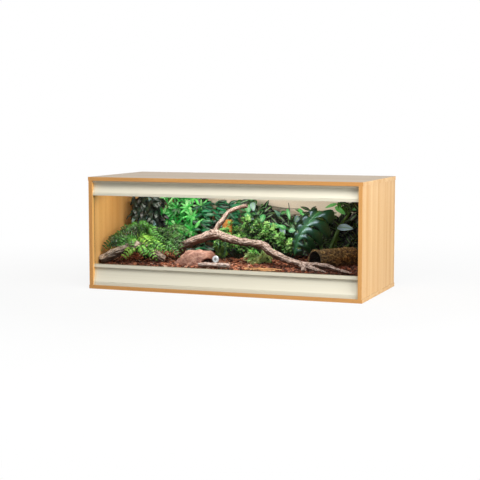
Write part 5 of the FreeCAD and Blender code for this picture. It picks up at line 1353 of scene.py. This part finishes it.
# The leaves behind are darker too: a painted shade.
for _ in range(BACK_LEAVES):
    middle = somewhere(BACK_SPREAD, luck)
    on_shoot(corner, CORNER_STEMS[:2], middle, (luck.uniform(-1, 1), -0.3, luck.uniform(-0.8, 0.8)),
             (0.3, -0.95, 0.1), luck.uniform(40, 56), luck.uniform(20, 26), -0.4,
             lean=0.75, full=0.7, fold=0.1, droop=0.3)
for foot, run, length, width in (
        ((251, 112, 317), (-0.92, -0.2, 0.38), 42, 14),
        ((246, 112, 304), (-0.9, -0.25, -0.32), 46, 15),
        ((256, 110, 313), (0.70, -0.3, 0.65), 34, 13),
        ((258, 112, 298), (-0.5, -0.3, 0.2), 40, 16),
        ((272, 106, 292), (1.0, -0.1, -0.28), 52, 28)):
    on_shoot(corner, CORNER_STEMS[:1], foot, run, (0.25, -0.9, 0.45), length, width, 0.1,
             lean=0.7, full=0.7, fold=0.2, droop=0.3)
# The first leaf's tint of 2.0 gives it a painted highlight.
for foot, run, length, width, tint in (
        ((374, 96, 252), (0.96, -0.25, 0.06), 70, 32, 2.0),
        ((370, 104, 346), (-0.95, -0.3, -0.22), 52, 15, 1.0),
        ((362, 106, 334), (0.85, -0.3, -0.42), 54, 24, 1.0),
        ((424, 124, 322), (0.9, -0.2, 0.25), 46, 12, 1.0),
        ((372, 118, 352), (0.3, -0.5, -0.6), 38, 16, 0.35),
        ((402, 116, 350), (0.6, -0.4, -0.4), 48, 16, 0.1),
        ((440, 116, 346), (0.6, -0.4, -0.5), 50, 20, 0.0),
        ((380, 110, 352), (0.9, -0.4, -0.1), 56, 17, 0.1)):
    halfway = ((foot[0] + 412) / 2, (foot[1] + 130) / 2, (foot[2] + 308) / 2)
    stem(corner, ((412, 130, 300, 1.8), halfway + (1.4,), foot + (1.0,)), tint, sides=6)
    leaf(corner, foot, run, (0.25, -0.85, 0.55), length, width, tint,
         lean=0.75, full=0.75, fold=0.15, droop=0.45, rows=8, halves=3)
planted("corner_foliage", corner, moulded_leaf(
    "polyethylene_leaf_deep_green", "#020503", "#4FAE38", "#5F8A4C", "#3E6420",
    roughness=0.44, veins=5.0, shine=0.35, painted_highlight="#8FB2C4"), "broad_leaf", "broad_leaf_plant")


# The split-leaf plant: one great glossy leaf on its own stalk. Long lobes arch from its rib to the
# right and down, with thin slots between them and one open hole; the left half is folded back.
# It is cast thicker than the others, in two moulds.
RIB_LINE = ((313, 26, 318), (286, 4, 284), (262, -12, 247), (244, -20, 210), (232, -18, 176),
            (226, -12, 140))
RIGHT_EDGE = ((378, 50, 330), (366, 48, 224), (333, 28, 186), (302, 12, 160), (280, 0, 149),
              (228, -8, 139))
LEFT_EDGE = ((306, 40, 334), (266, 34, 312), (236, 18, 262), (226, 6, 214), (222, 0, 176),
             (223, -6, 140))
GREAT_LEAF_SKIN = 0.0011
LOBES = 6
LOBE_ROWS, LOBE_COLUMNS = 23, 11
HOLE_BORDER = 4             # the open hole lies between this lobe and the one above it
great = new_plant()


def knotted(line, share):
    """A place along a line of places, eased through them."""
    place = min(max(share, 0.0), 1.0) * (len(line) - 1)
    first = min(int(place), len(line) - 2)
    before, start, end, after = (
        np.array(line[min(max(number, 0), len(line) - 1)], float)
        for number in range(first - 1, first + 3))
    rest = place - first
    return start + 0.5 * rest * (end - before + rest * (
        2 * before - 5 * start + 4 * end - after + rest * (3 * (start - end) + after - before)))


def on_lobe(share, out, way):
    """A place on the leaf: a share along its rib, and out to the edge that its lobe bends to."""
    root, end = knotted(RIB_LINE, share), knotted(RIGHT_EDGE if way > 0 else LEFT_EDGE, share)
    swell = min(4 * share + 0.3, 1) * min(4 * (1 - share) + 0.1, 1)
    if way > 0:
        bend = (root + (end - root) * np.array([0.84, 0.5, 0.24])
                + np.array([0.0, -30.0, 32.0 - 8 * share]) * swell)
    else:
        bend = root + 0.55 * (end - root) + np.array([-12.0, -22.0, 22.0]) * swell
    return on_arch(root, bend, end, out)


def slot_width(border, out, way):
    """The share of a lobe that the slot at its border takes, which opens as it runs out."""
    if border in (0, LOBES):
        return 0.0
    if way > 0 and border == HOLE_BORDER:
        return 0.40 * math.sin(math.pi * (out - 0.10) / 0.70) ** 0.8 if 0.10 < out < 0.80 else 0.0
    return (0.14 * math.sin(math.pi * min(max(out - 0.12, 0) / 0.60, 1))
            + 0.16 * max(out - 0.72, 0) / 0.28)


for way in (-1, 1):
    for lobe in range(LOBES):
        faces = net(LOBE_ROWS, LOBE_COLUMNS, len(great["points"]))
        great["faces"] += faces if way < 0 else [tuple(reversed(face)) for face in faces]
        for row in range(LOBE_ROWS):
            out = row / (LOBE_ROWS - 1)
            low, high = slot_width(lobe, out, way), slot_width(lobe + 1, out, way)
            for column in range(LOBE_COLUMNS):
                share = column / (LOBE_COLUMNS - 1)
                narrowed = low + (1 - low - high) * share
                cut_back = 0.42 if lobe == 0 and share < 0.5 else 0.13
                rounded = out * (1 - cut_back * abs(2 * share - 1) ** 2.5)
                ripple = 4.5 * math.sin(math.pi * share) * min(out * 2.5, 1)
                place = on_lobe((lobe + narrowed) / LOBES, rounded, way)
                place[1] -= ripple
                great["points"].append(tuple(place / 1000))
                tint = 0.55 if way > 0 else 0.35
                great["marks"].append((min(out * 0.9 + 0.04, 1), share, tint, 1))
stem(great, [(*(knotted(RIB_LINE, share) + np.array([0, 1.5, 0])), 2.6 - 1.8 * share)
             for share in np.linspace(0, 1, 9)], 0.8, sides=8)
stem(great, ((301, 123, 110, 3.6), (302, 122, 225, 3.4), (308, 96, 296, 3.1), (312, 56, 318, 2.8),
             (313, 26, 318, 2.6)), 0.8, sides=8)
glossy = moulded_leaf(
    "cast_leaf_glossy_green", "#031A0B", "#134A22", "#3E7A4A", "#3E6420",
    roughness=0.31, veins=2.0, shine=0.9)
cool_shine = glossy.node_tree.nodes["Principled BSDF"].inputs["Specular Tint"]
cool_shine.default_value = linear("#BFD4F2")
planted("great_split_leaf", great, glossy, "split_leaf", "split_leaf_plant", GREAT_LEAF_SKIN)


# The studio: a pale floor sheet, a large soft light high in front, one at the right, one behind, a
# strip light in the case, and a dim white room round them. The camera stands where the photograph
# was taken from.
FLOOR_HALF = 9.0
FLOOR_DROP = 0.0006
SHEET_GRAIN = 0.003
FADE_START, FADE_END = 1.0, 2.6     # from here on outwards the sheet fades into the white room
floor_mesh = bpy.data.meshes.new("studio_floor")
floor_corners = ((-1, -1), (1, -1), (1, 1), (-1, 1))
floor_mesh.from_pydata(
    [(x * FLOOR_HALF, y * FLOOR_HALF, -FLOOR_DROP) for x, y in floor_corners],
    [], [(0, 1, 2, 3)])
floor = bpy.data.objects.new("studio_floor", floor_mesh)
bpy.context.scene.collection.objects.link(floor)
material, tree, shader = new_material("floor_sheet_matt", 0.9)
grit = add(tree, "ShaderNodeTexNoise", {}, {
    "Vector": stretched(tree, [SHEET_GRAIN] * 3), "Scale": 1.0, "Detail": 2.0}).outputs["Fac"]
sheet_colour = add(tree, "ShaderNodeValToRGB", {
    "stops": ((0.2, linear("#8C8C8B")), (0.8, linear("#929291")))}, {"Fac": grit}).outputs["Color"]
tree.links.new(sheet_colour, shader.inputs["Base Color"])
path = add(tree, "ShaderNodeLightPath").outputs
seen = add(tree, "ShaderNodeMath", {"operation": "MAXIMUM"}, {
    0: path["Is Camera Ray"], 1: path["Is Transmission Ray"]}).outputs[0]
away = add(tree, "ShaderNodeVectorMath", {"operation": "LENGTH"}, {
    0: add(tree, "ShaderNodeTexCoord").outputs["Object"]}).outputs["Value"]
strength = add(tree, "ShaderNodeMapRange", {}, {
    "Value": away, 1: FADE_START, 2: FADE_END, 3: 1.2, 4: 1.0}).outputs[0]
glow = add(tree, "ShaderNodeEmission", {}, {"Color": linear("#FFFFFF"), "Strength": strength})
whiter = add(tree, "ShaderNodeMapRange", {}, {
    "Value": away, 1: FADE_START, 2: FADE_END, 3: 0.72, 4: 1.0}).outputs[0]
share = add(tree, "ShaderNodeMath", {"operation": "MULTIPLY"}, {0: seen, 1: whiter}).outputs[0]
mixed = add(tree, "ShaderNodeMixShader", {}, {
    0: share, 1: shader.outputs["BSDF"], 2: glow.outputs["Emission"]})
tree.links.new(mixed.outputs["Shader"], tree.nodes["Material Output"].inputs["Surface"])
floor_mesh.materials.append(material)

ROOM_LIGHT = 0.19
world = bpy.data.worlds.new("white_room")
bpy.context.scene.world = world
world.use_nodes = True
tree = world.node_tree
path = add(tree, "ShaderNodeLightPath").outputs
shown = path["Is Camera Ray"]
for other in ("Is Glossy Ray", "Is Transmission Ray"):
    shown = add(tree, "ShaderNodeMath", {"operation": "MAXIMUM"}, {
        0: shown, 1: path[other]}).outputs[0]
strength = add(tree, "ShaderNodeMix", {}, {0: shown, 2: ROOM_LIGHT, 3: 1.0}).outputs[0]
tree.links.new(strength, tree.nodes["Background"].inputs["Strength"])
tree.nodes["Background"].inputs["Color"].default_value = linear("#FFFFFF")


def softbox(name, place, target, width, height, watts):
    """A rectangular lamp at a place, turned to a target."""
    lamp = bpy.data.lights.new(name, "AREA")
    lamp.shape = "RECTANGLE"
    lamp.size, lamp.size_y, lamp.energy = width, height, watts
    holder = bpy.data.objects.new(name, lamp)
    holder.location = place
    holder.rotation_euler = (Vector(target) - Vector(place)).to_track_quat("-Z", "Y").to_euler()
    bpy.context.scene.collection.objects.link(holder)
    return holder


softbox("key_softbox", (1.0, -2.05, 3.4), (0.1, 0.0, 0.25), width=2.2, height=1.5, watts=138)
for name, place, target, watts in (
        ("side_softbox", (3.3, -1.2, 1.1), (0.4, 0.0, 0.25), 88),
        ("rear_softbox", (-2.0, 3.0, 1.0), (0.0, 0.2, 0.2), 60)):
    softbox(name, place, target, width=1.4, height=1.2, watts=watts).visible_glossy = False
# A strip light sits behind the top fascia, where such a case has its lamp.
strip = softbox("strip_light", (-0.04, -0.180, 0.434), (-0.04, 0.03, 0.10),
                width=0.82, height=0.05, watts=3.9)
strip.visible_camera = False
strip.data.color = (1.0, 0.96, 0.89)

CAMERA_PLACE = (1.7496, -4.6213, 0.6991)
CAMERA_YAW, CAMERA_PITCH = math.radians(20.87), math.radians(-5.82)
SENSOR_WIDTH = 36.0
FOCAL_PIXELS, PICTURE_PIXELS = 1210.67, 480
eye = bpy.data.cameras.new("photo_camera")
eye.sensor_width = SENSOR_WIDTH
eye.lens = SENSOR_WIDTH * FOCAL_PIXELS / PICTURE_PIXELS
eye.clip_end = 60.0
camera = bpy.data.objects.new("photo_camera", eye)
bpy.context.scene.collection.objects.link(camera)
ahead = Vector((-math.sin(CAMERA_YAW) * math.cos(CAMERA_PITCH),
                math.cos(CAMERA_YAW) * math.cos(CAMERA_PITCH), math.sin(CAMERA_PITCH)))
sideways = Vector((math.cos(CAMERA_YAW), math.sin(CAMERA_YAW), 0.0))
upwards = sideways.cross(ahead)
camera.matrix_world = Matrix.Translation(CAMERA_PLACE) @ Matrix(
    (sideways, upwards, -ahead)).transposed().to_4x4()
bpy.context.scene.camera = camera
bpy.context.scene.view_settings.view_transform = "Standard"
